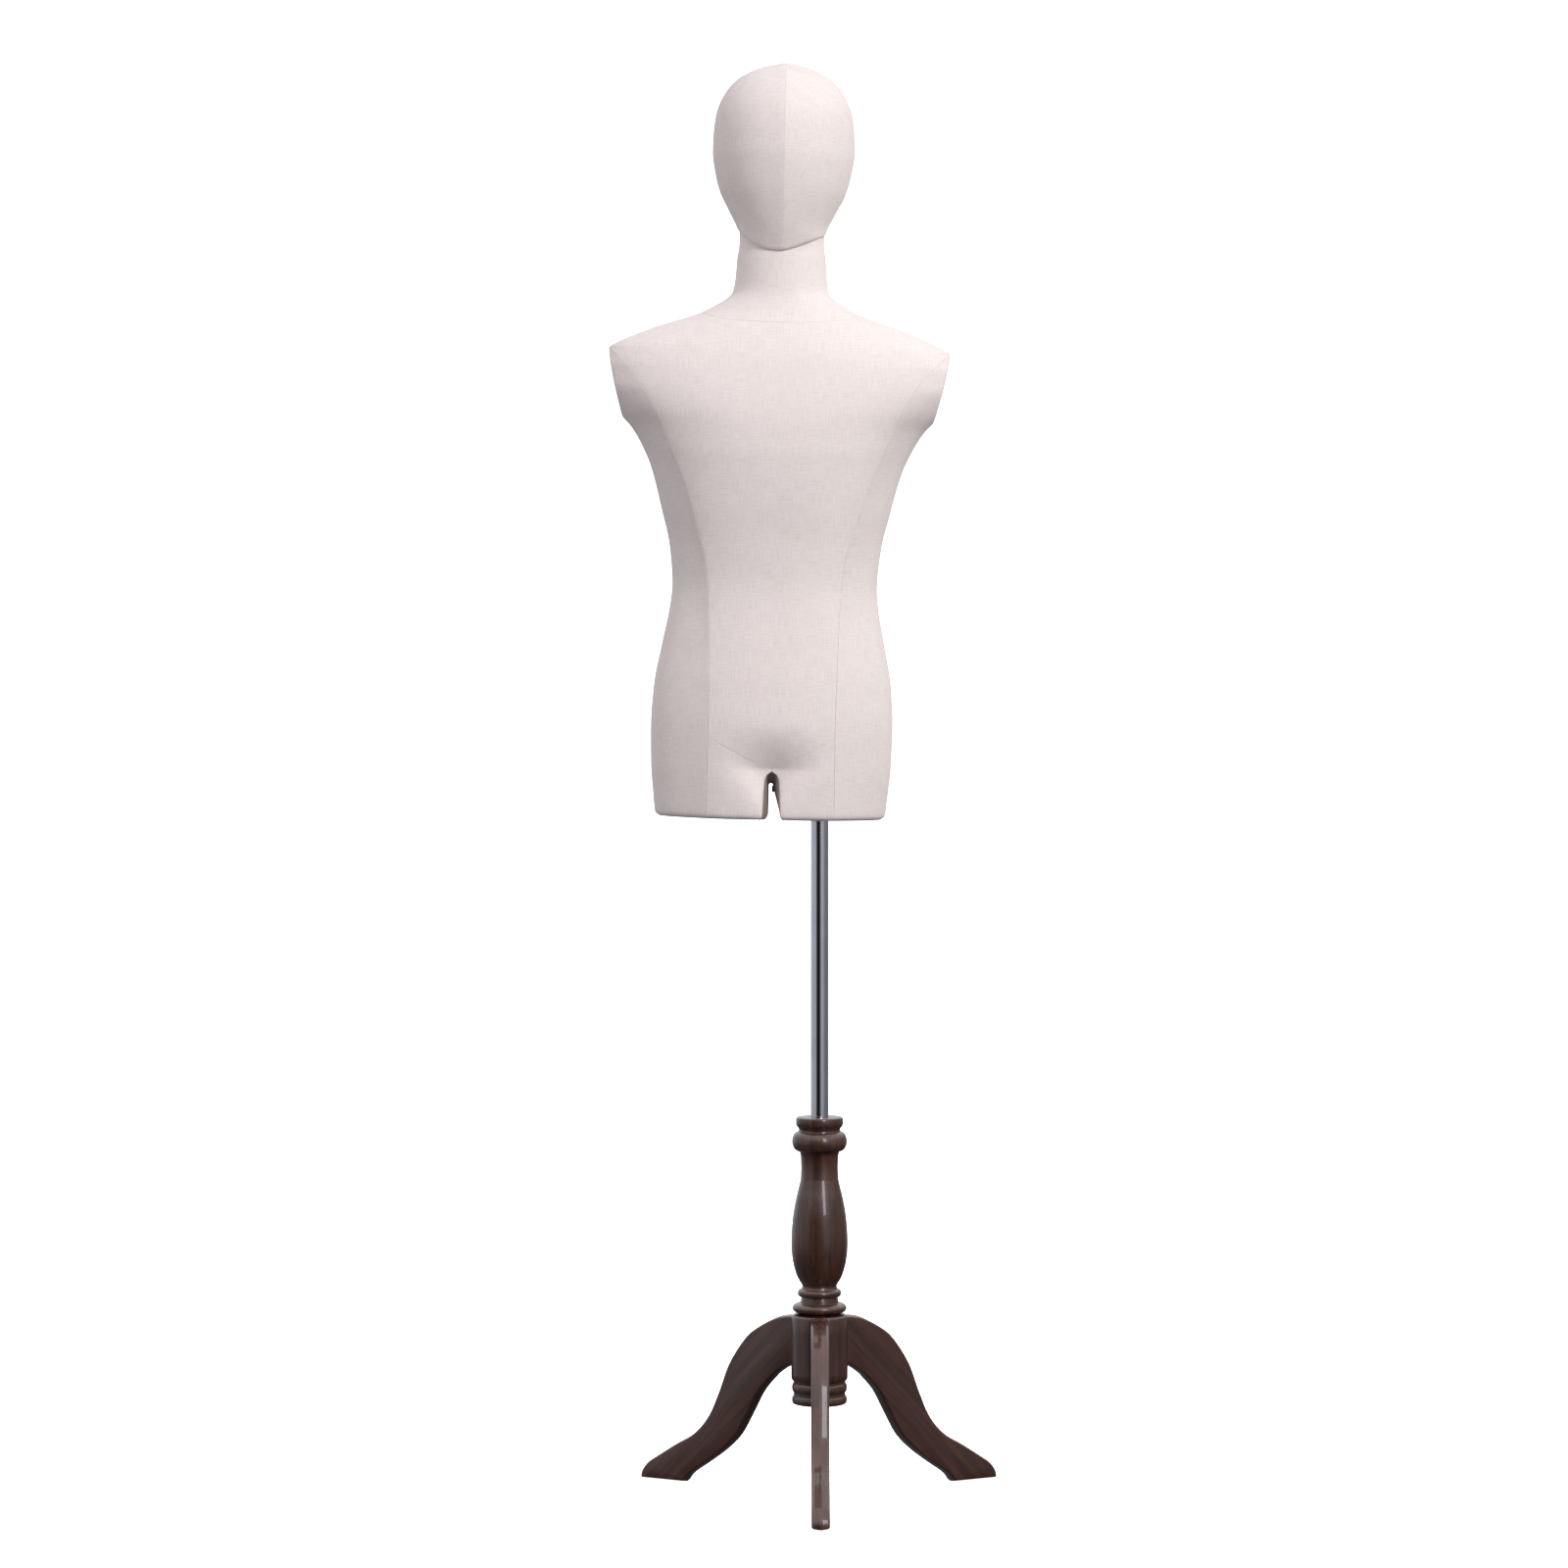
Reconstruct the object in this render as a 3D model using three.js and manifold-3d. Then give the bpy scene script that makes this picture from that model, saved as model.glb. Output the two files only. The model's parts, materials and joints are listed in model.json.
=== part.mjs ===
// Dress form mannequin: a linen-covered half body with an egg head on a chrome pole,
// standing on a turned wooden column with three S-curved legs.
// Millimetres, +Z up, the form faces -Y. The origin is on the floor, under the middle of the object.
import * as THREE from 'three';
import { mergeVertices } from 'three/addons/utils/BufferGeometryUtils.js';
import Module from 'manifold-3d';

const wasm = await Module();
wasm.setup();

// ---------- driving dimensions ----------
const POLE_X = 16;               // pole axis from the origin
const POLE_Y = 58;
const FIT = 0.3;                 // running gap between neighbours

const POLE_R = 11;
const POLE_WALL = 1.5;
const POLE_FOOT_Z = 258.5;
const POLE_TOP_Z = 1052;
const POLE_CAP_Z = 1060;

const COLUMN_TOP_Z = 466;
const COLUMN_FOOT_Z = 222.3;
const SPIGOT_Z = 214;
const SPIGOT_R = 14;
const BORE_FLOOR_Z = 258;
const HUB_TOP_Z = 222;
const HUB_FOOT_Z = 112;
const HUB_R = 34.8;
const CAVITY_R = 22;
const CAVITY_TOP_Z = 200;
const BOLT_HOLE_R = 4.6;
const TURNED_SEGMENTS = 20;

const LEG_WIDTH = 22;
const LEG_FLAT_R = 32.9;         // flat on the hub that each leg beds on
const LEG_FOOT_Z = 157.5;
const LEG_ANGLES = { front: -90, left: 150, right: 30 };
const LEG_BOLT_Z = { lower: 168, upper: 188 };
const LEG_BOLT_R = 3;

const FORM_X = -61;              // form centreline from the pole axis, at the thigh ends
const FORM_LEAN = 1.2;           // degrees, towards +X
const FORM_FOOT_Z = 834;
const SHELL_FOOT_Z = 837.5;
const NECK_SEAM_FRONT_Z = 1436;
const NECK_SEAM_SIDE_Z = 1450;
const NECK_SEAM_BACK_Z = 1462;
const NECK_TOP_Z = 1556;
const TORSO_POWER = 2.35;        // squareness of the torso's sections; the neck is round
const ROUND = 2;

const CLOTH = 2.4;               // linen with its thin foam backing
const SHELL_OUT = 6;             // depth of the shell's outer face under the cloth's face
const SHELL_IN = 9.5;
const ARMHOLE_INSET = 4;         // depth of the cloth cover at each armhole end
const SEAM = 0.8;                // half the gap between two cloth panels
const LINING_CLEAR = 3;          // from the back of the cloth to the edge of the gap's lining

const ARMHOLE_TOP = [209, 1404]; // shoulder tip: half width and height
const SHOULDER_PAD = 6;          // extra foam under the cloth at the shoulder tips
const SHOULDER_PAD_Z = 1390;
const SHOULDER_PAD_SPREAD = 26;
const GROIN_PAD = 6.5;           // and under the cloth round the groin
const GROIN_PAD_SPREAD = 40;
const CHEST_Z = 1330;            // a panel's rows are closer together above this height
const ARMHOLE_TILT = 12.5;       // degrees from vertical
const ARMHOLE_MID_Z = 1360.5;
const ARMHOLE_HALF = [52, 44.5]; // half depth and half height of the flat end

const CROTCH_X = 1.5;            // the gap lies a little towards the pole-side thigh
const CROTCH_TOP_Z = 884;
const CROTCH_HALF_TOP = 4;
const CROTCH_HALF_FOOT = 9.5;
const GROIN_MID_Z = 896;
const GROIN_SIDE_Z = 935;
const GROIN_TOP_Z = 950;
const CROTCH_HOLLOW = 15;        // how far the cloth is drawn in above the gap
const CROTCH_HOLLOW_WIDTH = 34;
const CROTCH_HOLLOW_FADE = 18;   // height over which it fades out below the groin seams

const SLEEVE_R = 13;
const SOCKET_IN_R = 13.4;
const SOCKET_OUT_R = 15.4;
const SOCKET_TOP_Z = 980;
const BOARD_Z = [838.5, 850];
const FLANGE_R = 32;
const CLAMP_Z = 869;
const CLAMP_HEAD_X = -58.5;
const CLAMP_SCREW_R = 4;

const HEAD_HEM_FRONT_Z = 1531;
const HEAD_HEM_BACK_Z = 1548;
const HEAD_CORE_Z = 1560;
const HEAD_BORE_R = 52.6;
const HEAD_CLOTH = 1.6;
const PEG_R = 6;

// Stations: height, half width, front depth, back depth.
const TORSO = [
  [800, 139, 96, 94],
  [834, 141, 98, 97],
  [860, 143.5, 100, 101],
  [900, 147, 103, 104],
  [948, 148, 105, 106],
  [996, 145, 103, 104],
  [1044, 136.5, 98, 97],
  [1092, 127.5, 93, 89],
  [1116, 125.3, 92, 87],
  [1164, 129.5, 96, 89],
  [1212, 140.5, 103, 95],
  [1260, 153.8, 109, 101],
  [1284, 164.5, 111, 103],
  [1308, 179, 111, 104],
  [1325, 195.5, 110, 104],
  [1340, 207.8, 108, 103],
  [1360, 219.5, 104, 101],
  [1380, 221.2, 99, 96],
  [1395, 215, 94, 91],
  [1404, 209, 90, 88],
  [1428, 159, 77, 76],
  [1452, 91, 63, 66],
  [1476, 58.5, 56.6, 57.4],
  [1500, 55.2, 55.2, 55.2],
  [1516, 54.2, 54.2, 54.2],
  [1528, 52.4, 52.4, 52.4],
  [1536, 52, 52, 52],
  [1580, 52, 52, 52],
];
const HEAD = [
  [1520, 53.6, 56, 53.6],
  [1531, 53.7, 60, 53.7],
  [1548, 54.8, 69, 54.8],
  [1572, 65, 79, 63.5],
  [1596, 77, 87, 79.5],
  [1620, 83.4, 92, 94],
  [1644, 86.8, 95, 102.5],
  [1668, 86, 94.5, 105],
  [1692, 82.8, 90.5, 102],
  [1716, 72.6, 79.5, 91],
  [1733, 58, 64, 73.5],
  [1745, 37.5, 41, 48],
  [1751, 18, 20, 23],
  [1753.5, 0, 0, 0],
];
// Princess seam: height and distance from the centreline.
const PRINCESS = [
  [820, 78],
  [935, 77],
  [1066, 79],
  [1144, 84],
  [1183, 95],
  [1238, 111],
  [1284, 131],
  [1339, 155],
  [1373, 179],
  [1392, 196.5],
  [1404, 208.9],
];

// ---------- looks ----------
const linen = () => new THREE.MeshStandardMaterial({ color: 0xe0d6d2, roughness: 0.95, metalness: 0 });
const walnut = () => new THREE.MeshStandardMaterial({ color: 0x3b2823, roughness: 0.35, metalness: 0 });
const chrome = () => new THREE.MeshStandardMaterial({ color: 0xc9cbd0, roughness: 0.12, metalness: 1 });
const steel = () => new THREE.MeshStandardMaterial({ color: 0x8c8f94, roughness: 0.4, metalness: 1 });
const blackSteel = () => new THREE.MeshStandardMaterial({ color: 0x1b1a1c, roughness: 0.5, metalness: 0.8 });
const shellResin = () => new THREE.MeshStandardMaterial({ color: 0xd8d2c4, roughness: 0.8, metalness: 0 });
const plywood = () => new THREE.MeshStandardMaterial({ color: 0xb89468, roughness: 0.8, metalness: 0 });
const nylon = () => new THREE.MeshStandardMaterial({ color: 0xe8e6df, roughness: 0.5, metalness: 0 });

// ---------- helpers ----------
const radians = THREE.MathUtils.degToRad;
const mix = THREE.MathUtils.lerp;

function toSolid(geometry) {
  const bare = geometry.clone();
  bare.deleteAttribute('normal');
  bare.deleteAttribute('uv');
  const merged = mergeVertices(bare, 1e-3);
  return new wasm.Manifold(new wasm.Mesh({
    numProp: 3,
    vertProperties: new Float32Array(merged.attributes.position.array),
    triVerts: new Uint32Array(merged.index.array),
  }));
}

function toGeometry(solid) {
  const result = solid.getMesh();
  const geometry = new THREE.BufferGeometry();
  geometry.setAttribute('position', new THREE.BufferAttribute(result.vertProperties, 3));
  geometry.setIndex(new THREE.BufferAttribute(result.triVerts, 1));
  return geometry;
}

function mesh(name, geometry, material) {
  const body = geometry.isBufferGeometry ? geometry : toGeometry(geometry);
  const piece = new THREE.Mesh(body, material);
  piece.name = name;
  return piece;
}

// A value read from a table of stations by a smooth curve that never overshoots.
function smoothAt(stations, column, height) {
  const last = stations.length - 2;
  const z = THREE.MathUtils.clamp(height, stations[0][0], stations[last + 1][0]);
  const above = stations.findIndex((station) => station[0] > z);
  const i = above < 0 ? last : above - 1;
  const slope = (k) => (stations[k + 1][column] - stations[k][column]) / (stations[k + 1][0] - stations[k][0]);
  const tangent = (k) => {
    if (k === 0) return slope(0);
    if (k > last) return slope(last);
    const before = slope(k - 1);
    const after = slope(k);
    return before * after <= 0 ? 0 : 2 * before * after / (before + after);
  };
  const span = stations[i + 1][0] - stations[i][0];
  const t = (z - stations[i][0]) / span;
  const t2 = t * t;
  const t3 = t2 * t;
  return (2 * t3 - 3 * t2 + 1) * stations[i][column] + (t3 - 2 * t2 + t) * span * tangent(i)
    + (3 * t2 - 2 * t3) * stations[i + 1][column] + (t3 - t2) * span * tangent(i + 1);
}

// A body of oval sections. Angle 0 is the +X side, a quarter turn is the front (-Y).
function makeBody(stations, powerAt, hollowAt = () => 0) {
  const surface = (angle, z) => {
    const root = (value) => Math.sign(value) * Math.abs(value) ** (2 / powerAt(z));
    const front = Math.sin(angle) > 0;
    const depth = smoothAt(stations, front ? 2 : 3, z);
    const x = smoothAt(stations, 1, z) * root(Math.cos(angle));
    const y = -depth * root(Math.sin(angle)) + (front ? hollowAt(x, z) : 0);
    return new THREE.Vector3(x, y, z);
  };
  const step = 0.01;
  const rise = 0.5;
  const at = (angle, z, inward) => {
    const point = surface(angle, z);
    const around = surface(angle + step, z).sub(surface(angle - step, z));
    const up = surface(angle, z + rise).sub(surface(angle, z - rise));
    const normal = up.cross(around).normalize();
    return point.addScaledVector(normal, -inward);
  };
  const angleOf = (x, z) => {
    const share = THREE.MathUtils.clamp(x / smoothAt(stations, 1, z), -1, 1);
    return Math.acos(Math.sign(share) * Math.abs(share) ** (powerAt(z) / 2));
  };
  return { at, angleOf };
}

// A cloth panel: a block bent onto a body between two seams, a hem and a top edge.
function panel(body, columns, rows, angleAt, heightAt) {
  const geometry = new THREE.BoxGeometry(1, 1, 1, columns, rows, 1);
  const position = geometry.attributes.position;
  for (let i = 0; i < position.count; i++) {
    const u = 0.5 - position.getX(i);
    const v = position.getY(i) + 0.5;
    const z = heightAt(u, v);
    const inward = position.getZ(i) > 0 ? 0 : CLOTH;
    const point = body.at(angleAt(u, z), z, inward);
    position.setXYZ(i, point.x, point.y, point.z);
  }
  return geometry;
}

// A body filled between its first and last row, which are flat.
function filled(body, rows, segments, inward, topZ = rows.at(-1)) {
  const outline = rows.map((z) => new THREE.Vector2(1, z));
  const profile = [new THREE.Vector2(0, rows[0]), ...outline, new THREE.Vector2(0, rows.at(-1))];
  const geometry = new THREE.LatheGeometry(profile, segments);
  const position = geometry.attributes.position;
  for (let i = 0; i < position.count; i++) {
    const z = position.getY(i);
    const onAxis = Math.hypot(position.getX(i), position.getZ(i)) < 0.5;
    const depth = typeof inward === 'function' ? inward(z) : inward;
    const point = body.at(Math.atan2(-position.getX(i), position.getZ(i)), z, depth);
    if (onAxis) point.set(0, 0, z);
    if (Math.abs(z - rows[0]) < 1e-3) point.z = rows[0];
    if (Math.abs(z - rows.at(-1)) < 1e-3) point.z = topZ;
    position.setXYZ(i, ...point);
  }
  return toSolid(geometry);
}

function box(x0, x1, y0, y1, z0, z1) {
  const geometry = new THREE.BoxGeometry(x1 - x0, y1 - y0, z1 - z0);
  geometry.translate((x0 + x1) / 2, (y0 + y1) / 2, (z0 + z1) / 2);
  return toSolid(geometry);
}

// A turned piece about Z from points [radius, height]; a ring when it stays off the axis.
function turned(points, segments = TURNED_SEGMENTS) {
  const profile = points.map(([r, z]) => new THREE.Vector2(r, z));
  if (points[0][0] > 0) profile.push(profile[0].clone());
  const geometry = new THREE.LatheGeometry(profile, segments);
  geometry.rotateX(Math.PI / 2);
  return geometry;
}

function disc(radius, z0, z1, segments = TURNED_SEGMENTS) {
  return turned([[0, z0], [radius, z0], [radius, z1], [0, z1]], segments);
}

function ring(inner, outer, z0, z1, segments = TURNED_SEGMENTS) {
  return turned([[inner, z0], [outer, z0], [outer, z1], [inner, z1]], segments);
}

// How far the front is drawn in at the crotch: most just above the gap, nothing on the thighs' fronts.
function crotchHollow(x, z) {
  const across = Math.abs(x - CROTCH_X);
  const groinZ = mix(GROIN_MID_Z, GROIN_SIDE_Z, Math.min(1, across / 72));
  const below = Math.max(0, groinZ - z) / CROTCH_HOLLOW_FADE;
  const rise = THREE.MathUtils.clamp((GROIN_TOP_Z - z) / (GROIN_TOP_Z - GROIN_MID_Z), 0, 1) ** 1.7;
  return CROTCH_HOLLOW * rise * Math.exp(-((across / CROTCH_HOLLOW_WIDTH) ** 2) - below ** 2);
}

const torsoPower = (z) => mix(TORSO_POWER, ROUND, THREE.MathUtils.smoothstep(z, 1400, 1490));
const form = makeBody(TORSO, torsoPower, crotchHollow);
const egg = makeBody(HEAD, () => ROUND);

// ---------- base ----------
function rod(radius, from, to, segments = 12) {
  const start = new THREE.Vector3(...from);
  const run = new THREE.Vector3(...to).sub(start);
  const geometry = new THREE.CylinderGeometry(radius, radius, run.length(), segments);
  geometry.translate(0, run.length() / 2, 0);
  geometry.applyQuaternion(new THREE.Quaternion().setFromUnitVectors(
    new THREE.Vector3(0, 1, 0), run.clone().normalize(),
  ));
  geometry.translate(...start);
  return geometry;
}

// A half-round bead on a turned profile, from its bottom edge up to its top edge.
function bead(rootR, crownR, midZ, halfHeight, steps = 6) {
  return Array.from({ length: steps + 1 }, (_, i) => {
    const turn = Math.PI * (i / steps - 0.5);
    return [rootR + (crownR - rootR) * Math.cos(turn), midZ + halfHeight * Math.sin(turn)];
  });
}

function makeColumn() {
  const vase = new THREE.SplineCurve([
    [21.5, 259], [28.2, 271], [33.4, 291], [34.8, 314], [32.8, 343], [29, 365], [25.6, 379], [23.2, 390],
  ].map((pair) => new THREE.Vector2(...pair))).getPoints(10).map((point) => [point.x, point.y]);
  return turned([
    [BOLT_HOLE_R, SPIGOT_Z],
    [SPIGOT_R, SPIGOT_Z],
    [SPIGOT_R, COLUMN_FOOT_Z],
    [31, COLUMN_FOOT_Z],
    ...bead(23.6, 33.4, 230.5, 6.5, 5),
    [23.1, 240],
    ...bead(22.4, 26.9, 249, 5, 4),
    ...vase,
    [23.2, 418],
    ...bead(26, 33.8, 436, 12, 5),
    [25.4, 450],
    [27, 453.5],
    [29, 456.5],
    [29, 463.5],
    [27, COLUMN_TOP_Z],
    [POLE_R + FIT, COLUMN_TOP_Z],
    [POLE_R + FIT, BORE_FLOOR_Z],
    [BOLT_HOLE_R, BORE_FLOOR_Z],
  ]);
}

function makeHub() {
  const body = toSolid(turned([
    [CAVITY_R, HUB_FOOT_Z],
    [31.5, HUB_FOOT_Z],
    ...bead(32, 34, 117.5, 5, 3),
    [31.8, 125],
    ...bead(32, 34, 132.5, 5.5, 3),
    [32.2, 140.5],
    [HUB_R, 144],
    [HUB_R, 219],
    [33, HUB_TOP_Z],
    [SPIGOT_R + FIT, HUB_TOP_Z],
    [SPIGOT_R + FIT, SPIGOT_Z - FIT],
    [BOLT_HOLE_R, SPIGOT_Z - FIT],
    [BOLT_HOLE_R, CAVITY_TOP_Z],
    [CAVITY_R, CAVITY_TOP_Z],
  ]));
  const half = LEG_WIDTH / 2 + FIT;
  const seat = box(LEG_FLAT_R, HUB_R + 5, -half, half, LEG_FOOT_Z, HUB_TOP_Z + 5);
  const cutters = Object.values(LEG_ANGLES).flatMap((angle) => [
    seat.rotate([0, 0, angle]),
    ...Object.values(LEG_BOLT_Z).map(
      (z) => toSolid(rod(LEG_BOLT_R + FIT, [15, 0, z], [40, 0, z], 10)).rotate([0, 0, angle]),
    ),
  ]);
  return cutters.reduce((solid, cutter) => solid.subtract(cutter), body);
}

// The leg board lies in the XZ plane with X running out from the hub.
function makeLeg() {
  const inner = LEG_FLAT_R + FIT;
  const foot = LEG_FOOT_Z + FIT;
  const outline = new THREE.Shape();
  outline.moveTo(inner, foot);
  outline.lineTo(HUB_R + 1, foot);
  outline.quadraticCurveTo(49, 152, 60, 143);
  outline.splineThru([
    [80, 121], [97, 91], [113, 64], [132, 45], [155, 28], [181, 10.5], [190, 0],
  ].map((pair) => new THREE.Vector2(...pair)));
  outline.lineTo(253, 0);
  outline.quadraticCurveTo(255, 12, 240, 24);
  outline.splineThru([
    [205, 46], [176, 63], [155, 86], [140, 117], [125, 154], [104, 185], [86, 201], [56, 216.5], [inner, 220.5],
  ].map((pair) => new THREE.Vector2(...pair)));
  outline.closePath();
  const board = new THREE.ExtrudeGeometry(outline, { depth: LEG_WIDTH, bevelEnabled: false, curveSegments: 2 });
  board.translate(0, 0, -LEG_WIDTH / 2);
  board.rotateX(Math.PI / 2);
  return Object.values(LEG_BOLT_Z).reduce(
    (solid, z) => solid.subtract(toSolid(rod(LEG_BOLT_R + FIT, [25, 0, z], [66, 0, z], 10))),
    toSolid(board),
  );
}

function hexNut(holeR, cornerR, from, to) {
  const start = new THREE.Vector3(...from);
  const run = new THREE.Vector3(...to).sub(start);
  const before = start.clone().sub(run).toArray();
  const after = start.clone().addScaledVector(run, 2).toArray();
  return toSolid(rod(cornerR, from, to, 6)).subtract(toSolid(rod(holeR, before, after, 12)));
}

const base = new THREE.Group();
base.add(mesh('hub', makeHub(), walnut()));
base.add(mesh('column', makeColumn(), walnut()));
for (const [side, angle] of Object.entries(LEG_ANGLES)) {
  const legGroup = new THREE.Group();
  legGroup.rotation.z = radians(angle);
  legGroup.add(mesh(`leg_${side}`, makeLeg(), walnut()));
  for (const [level, z] of Object.entries(LEG_BOLT_Z)) {
    legGroup.add(mesh(`leg_bolt_${side}_${level}`, rod(LEG_BOLT_R, [13, 0, z], [64, 0, z], 10), steel()));
    const nut = hexNut(LEG_BOLT_R + FIT, 5.8, [16, 0, z], [20.8, 0, z]);
    legGroup.add(mesh(`leg_nut_${side}_${level}`, nut, steel()));
  }
  base.add(legGroup);
}
base.add(mesh('hub_plug', disc(CAVITY_R - FIT, 113, 120), walnut()));
base.add(mesh('pole_washer', ring(BOLT_HOLE_R, 12.5, CAVITY_TOP_Z - 2.8, CAVITY_TOP_Z - FIT, 18), steel()));
const boltHeadZ = CAVITY_TOP_Z - 3.1;
const boltHead = toSolid(rod(7.5, [0, 0, boltHeadZ - 6], [0, 0, boltHeadZ], 6));
const boltShank = toSolid(rod(4, [0, 0, boltHeadZ - 1], [0, 0, 292], 12));
base.add(mesh('pole_bolt', boltHead.add(boltShank), steel()));
const plugR = POLE_R - POLE_WALL - FIT;
base.add(mesh('pole_foot_plug', ring(BOLT_HOLE_R, plugR, POLE_FOOT_Z, 300), steel()));
base.add(mesh('pole', ring(POLE_R - POLE_WALL, POLE_R, POLE_FOOT_Z, POLE_TOP_Z), chrome()));
base.add(mesh('pole_top_cap', turned([
  [0, POLE_TOP_Z - 12],
  [plugR, POLE_TOP_Z - 12],
  [plugR, POLE_TOP_Z + FIT],
  [POLE_R, POLE_TOP_Z + FIT],
  [POLE_R, POLE_CAP_Z - 3],
  [POLE_R - 3, POLE_CAP_Z],
  [0, POLE_CAP_Z],
], 18), nylon()));

// ---------- pole socket, upright inside the pole-side thigh ----------
const FLANGE_SCREW_RING = 24;
const FLANGE_SCREW_ANGLES = [40, 160, 280];
const FLANGE_TOP_Z = BOARD_Z[1] + 3.5;

function makeSocket() {
  const body = toSolid(turned([
    [SOCKET_IN_R, BOARD_Z[0]],
    [SOCKET_OUT_R, BOARD_Z[0]],
    [SOCKET_OUT_R, BOARD_Z[1] + FIT],
    [FLANGE_R, BOARD_Z[1] + FIT],
    [FLANGE_R, FLANGE_TOP_Z],
    [SOCKET_OUT_R, FLANGE_TOP_Z],
    [SOCKET_OUT_R, SOCKET_TOP_Z],
    [SOCKET_IN_R, SOCKET_TOP_Z],
  ]));
  const padHole = toSolid(rod(3.8, [-SLEEVE_R + 3, 0, CLAMP_Z], [-SOCKET_OUT_R - 3, 0, CLAMP_Z], 12));
  return flangeScrewPlaces().reduce(
    (solid, [x, y]) => solid.subtract(toSolid(rod(2.4, [x, y, BOARD_Z[1] - 3], [x, y, FLANGE_TOP_Z + 3], 8))),
    body.subtract(padHole),
  );
}

function flangeScrewPlaces() {
  return FLANGE_SCREW_ANGLES.map((angle) => [
    FLANGE_SCREW_RING * Math.cos(radians(angle)),
    FLANGE_SCREW_RING * Math.sin(radians(angle)),
  ]);
}

function makeFlangeScrew([x, y]) {
  const head = toSolid(rod(4, [x, y, FLANGE_TOP_Z + FIT], [x, y, FLANGE_TOP_Z + 3], 10));
  return head.add(toSolid(rod(2, [x, y, BOARD_Z[0] + 2], [x, y, FLANGE_TOP_Z + 2], 8)));
}

const support = new THREE.Group();
support.add(mesh('pole_sleeve', ring(POLE_R + FIT, SLEEVE_R, FORM_FOOT_Z + 5, SOCKET_TOP_Z - 3), nylon()));
support.add(mesh('pole_socket', makeSocket(), steel()));
flangeScrewPlaces().forEach((place, i) => {
  support.add(mesh(`flange_screw_${i + 1}`, makeFlangeScrew(place), steel()));
});
const padX = -SLEEVE_R - FIT;
support.add(mesh('clamp_pad', rod(3.4, [padX, 0, CLAMP_Z], [padX - 3, 0, CLAMP_Z], 12), steel()));
support.add(mesh('clamp_screw', rod(CLAMP_SCREW_R, [padX - 3.3, 0, CLAMP_Z], [CLAMP_HEAD_X, 0, CLAMP_Z], 12),
  blackSteel()));
const nutFace = -SOCKET_OUT_R - 1.2;
support.add(mesh('clamp_nut', hexNut(CLAMP_SCREW_R + FIT, 8, [nutFace, 0, CLAMP_Z], [nutFace - 8, 0, CLAMP_Z]),
  steel()));

// ---------- covered form ----------
const BODY_ROWS = [
  834, 852, 868, 880, 892, 904, 918, 932, 948, 996, 1044, 1090, 1136, 1180, 1222, 1260, 1290, 1312, 1330,
  1352, 1376, 1394, 1404, 1416, 1430, 1446, 1462, 1480, 1505, 1528, 1556,
];
const BODY_SEGMENTS = 32;
const INNER_SEGMENTS = 32;
const INNER_ROWS = [
  820, 852, 868, 880, 892, 904, 918, 932, 948, 996, 1050, 1116, 1180, 1240, 1285, 1320, 1350, 1380,
  1400, 1420, 1440, 1460, 1485, 1525, 1566,
];

// Everything beyond a plane parallel to an armhole end, a given depth inside it.
function beyondArmhole(side, inward) {
  const block = box(0, 200, -150, 150, -200, 200).rotate([0, ARMHOLE_TILT, 0]);
  const normal = [Math.cos(radians(ARMHOLE_TILT)), -Math.sin(radians(ARMHOLE_TILT))];
  const x = ARMHOLE_TOP[0] - inward * normal[0];
  const z = ARMHOLE_TOP[1] - inward * normal[1];
  const placed = block.translate([x, 0, z]);
  return side > 0 ? placed : placed.mirror([1, 0, 0]);
}

// The wedge-shaped gap between the thighs, grown by a margin on every face.
function thighGap(margin, halfDepth = 150) {
  const top = CROTCH_HALF_TOP + margin;
  const foot = CROTCH_HALF_FOOT + margin;
  const outline = new THREE.Shape();
  outline.moveTo(CROTCH_X - foot, FORM_FOOT_Z - 30);
  outline.lineTo(CROTCH_X + foot, FORM_FOOT_Z - 30);
  outline.lineTo(CROTCH_X + foot, FORM_FOOT_Z);
  outline.lineTo(CROTCH_X + top, CROTCH_TOP_Z);
  outline.absarc(CROTCH_X, CROTCH_TOP_Z, top, 0, Math.PI, false);
  outline.lineTo(CROTCH_X - foot, FORM_FOOT_Z);
  const geometry = new THREE.ExtrudeGeometry(outline, {
    depth: 2 * halfDepth, bevelEnabled: false, curveSegments: 6,
  });
  geometry.translate(0, 0, -halfDepth);
  geometry.rotateX(Math.PI / 2);
  return toSolid(geometry);
}

function cutArmholes(solid, inward) {
  return solid.subtract(beyondArmhole(1, inward)).subtract(beyondArmhole(-1, inward));
}

function seamAngle(z) {
  return form.angleOf(smoothAt(PRINCESS, 1, z), z);
}

// Half the angle that a seam gap takes up on the body at a height.
function seamGap(z) {
  return SEAM / smoothAt(TORSO, 1, z) * 2;
}

function frontAngle(u, z) {
  const right = seamAngle(z) + seamGap(z);
  const left = Math.PI - right;
  const middle = form.angleOf(CROTCH_X, z);
  return u < 0.5 ? mix(right, middle, 2 * u) : mix(middle, left, 2 * u - 1);
}

function groinHeight(u) {
  return mix(GROIN_MID_Z, GROIN_SIDE_Z, Math.abs(2 * u - 1));
}

function neckSeamHeight(angle) {
  const front = Math.max(0, Math.sin(angle)) ** 2;
  const back = Math.max(0, -Math.sin(angle)) ** 2;
  return NECK_SEAM_SIDE_Z + (NECK_SEAM_FRONT_Z - NECK_SEAM_SIDE_Z) * front
    + (NECK_SEAM_BACK_Z - NECK_SEAM_SIDE_Z) * back;
}

// Half of a tall panel's rows lie below the chest, the rest above it.
function panelHeight(v, bottom, top) {
  return v < 0.5 ? mix(bottom, CHEST_Z, v * 2) : mix(CHEST_Z, top, v * 2 - 1);
}

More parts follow.
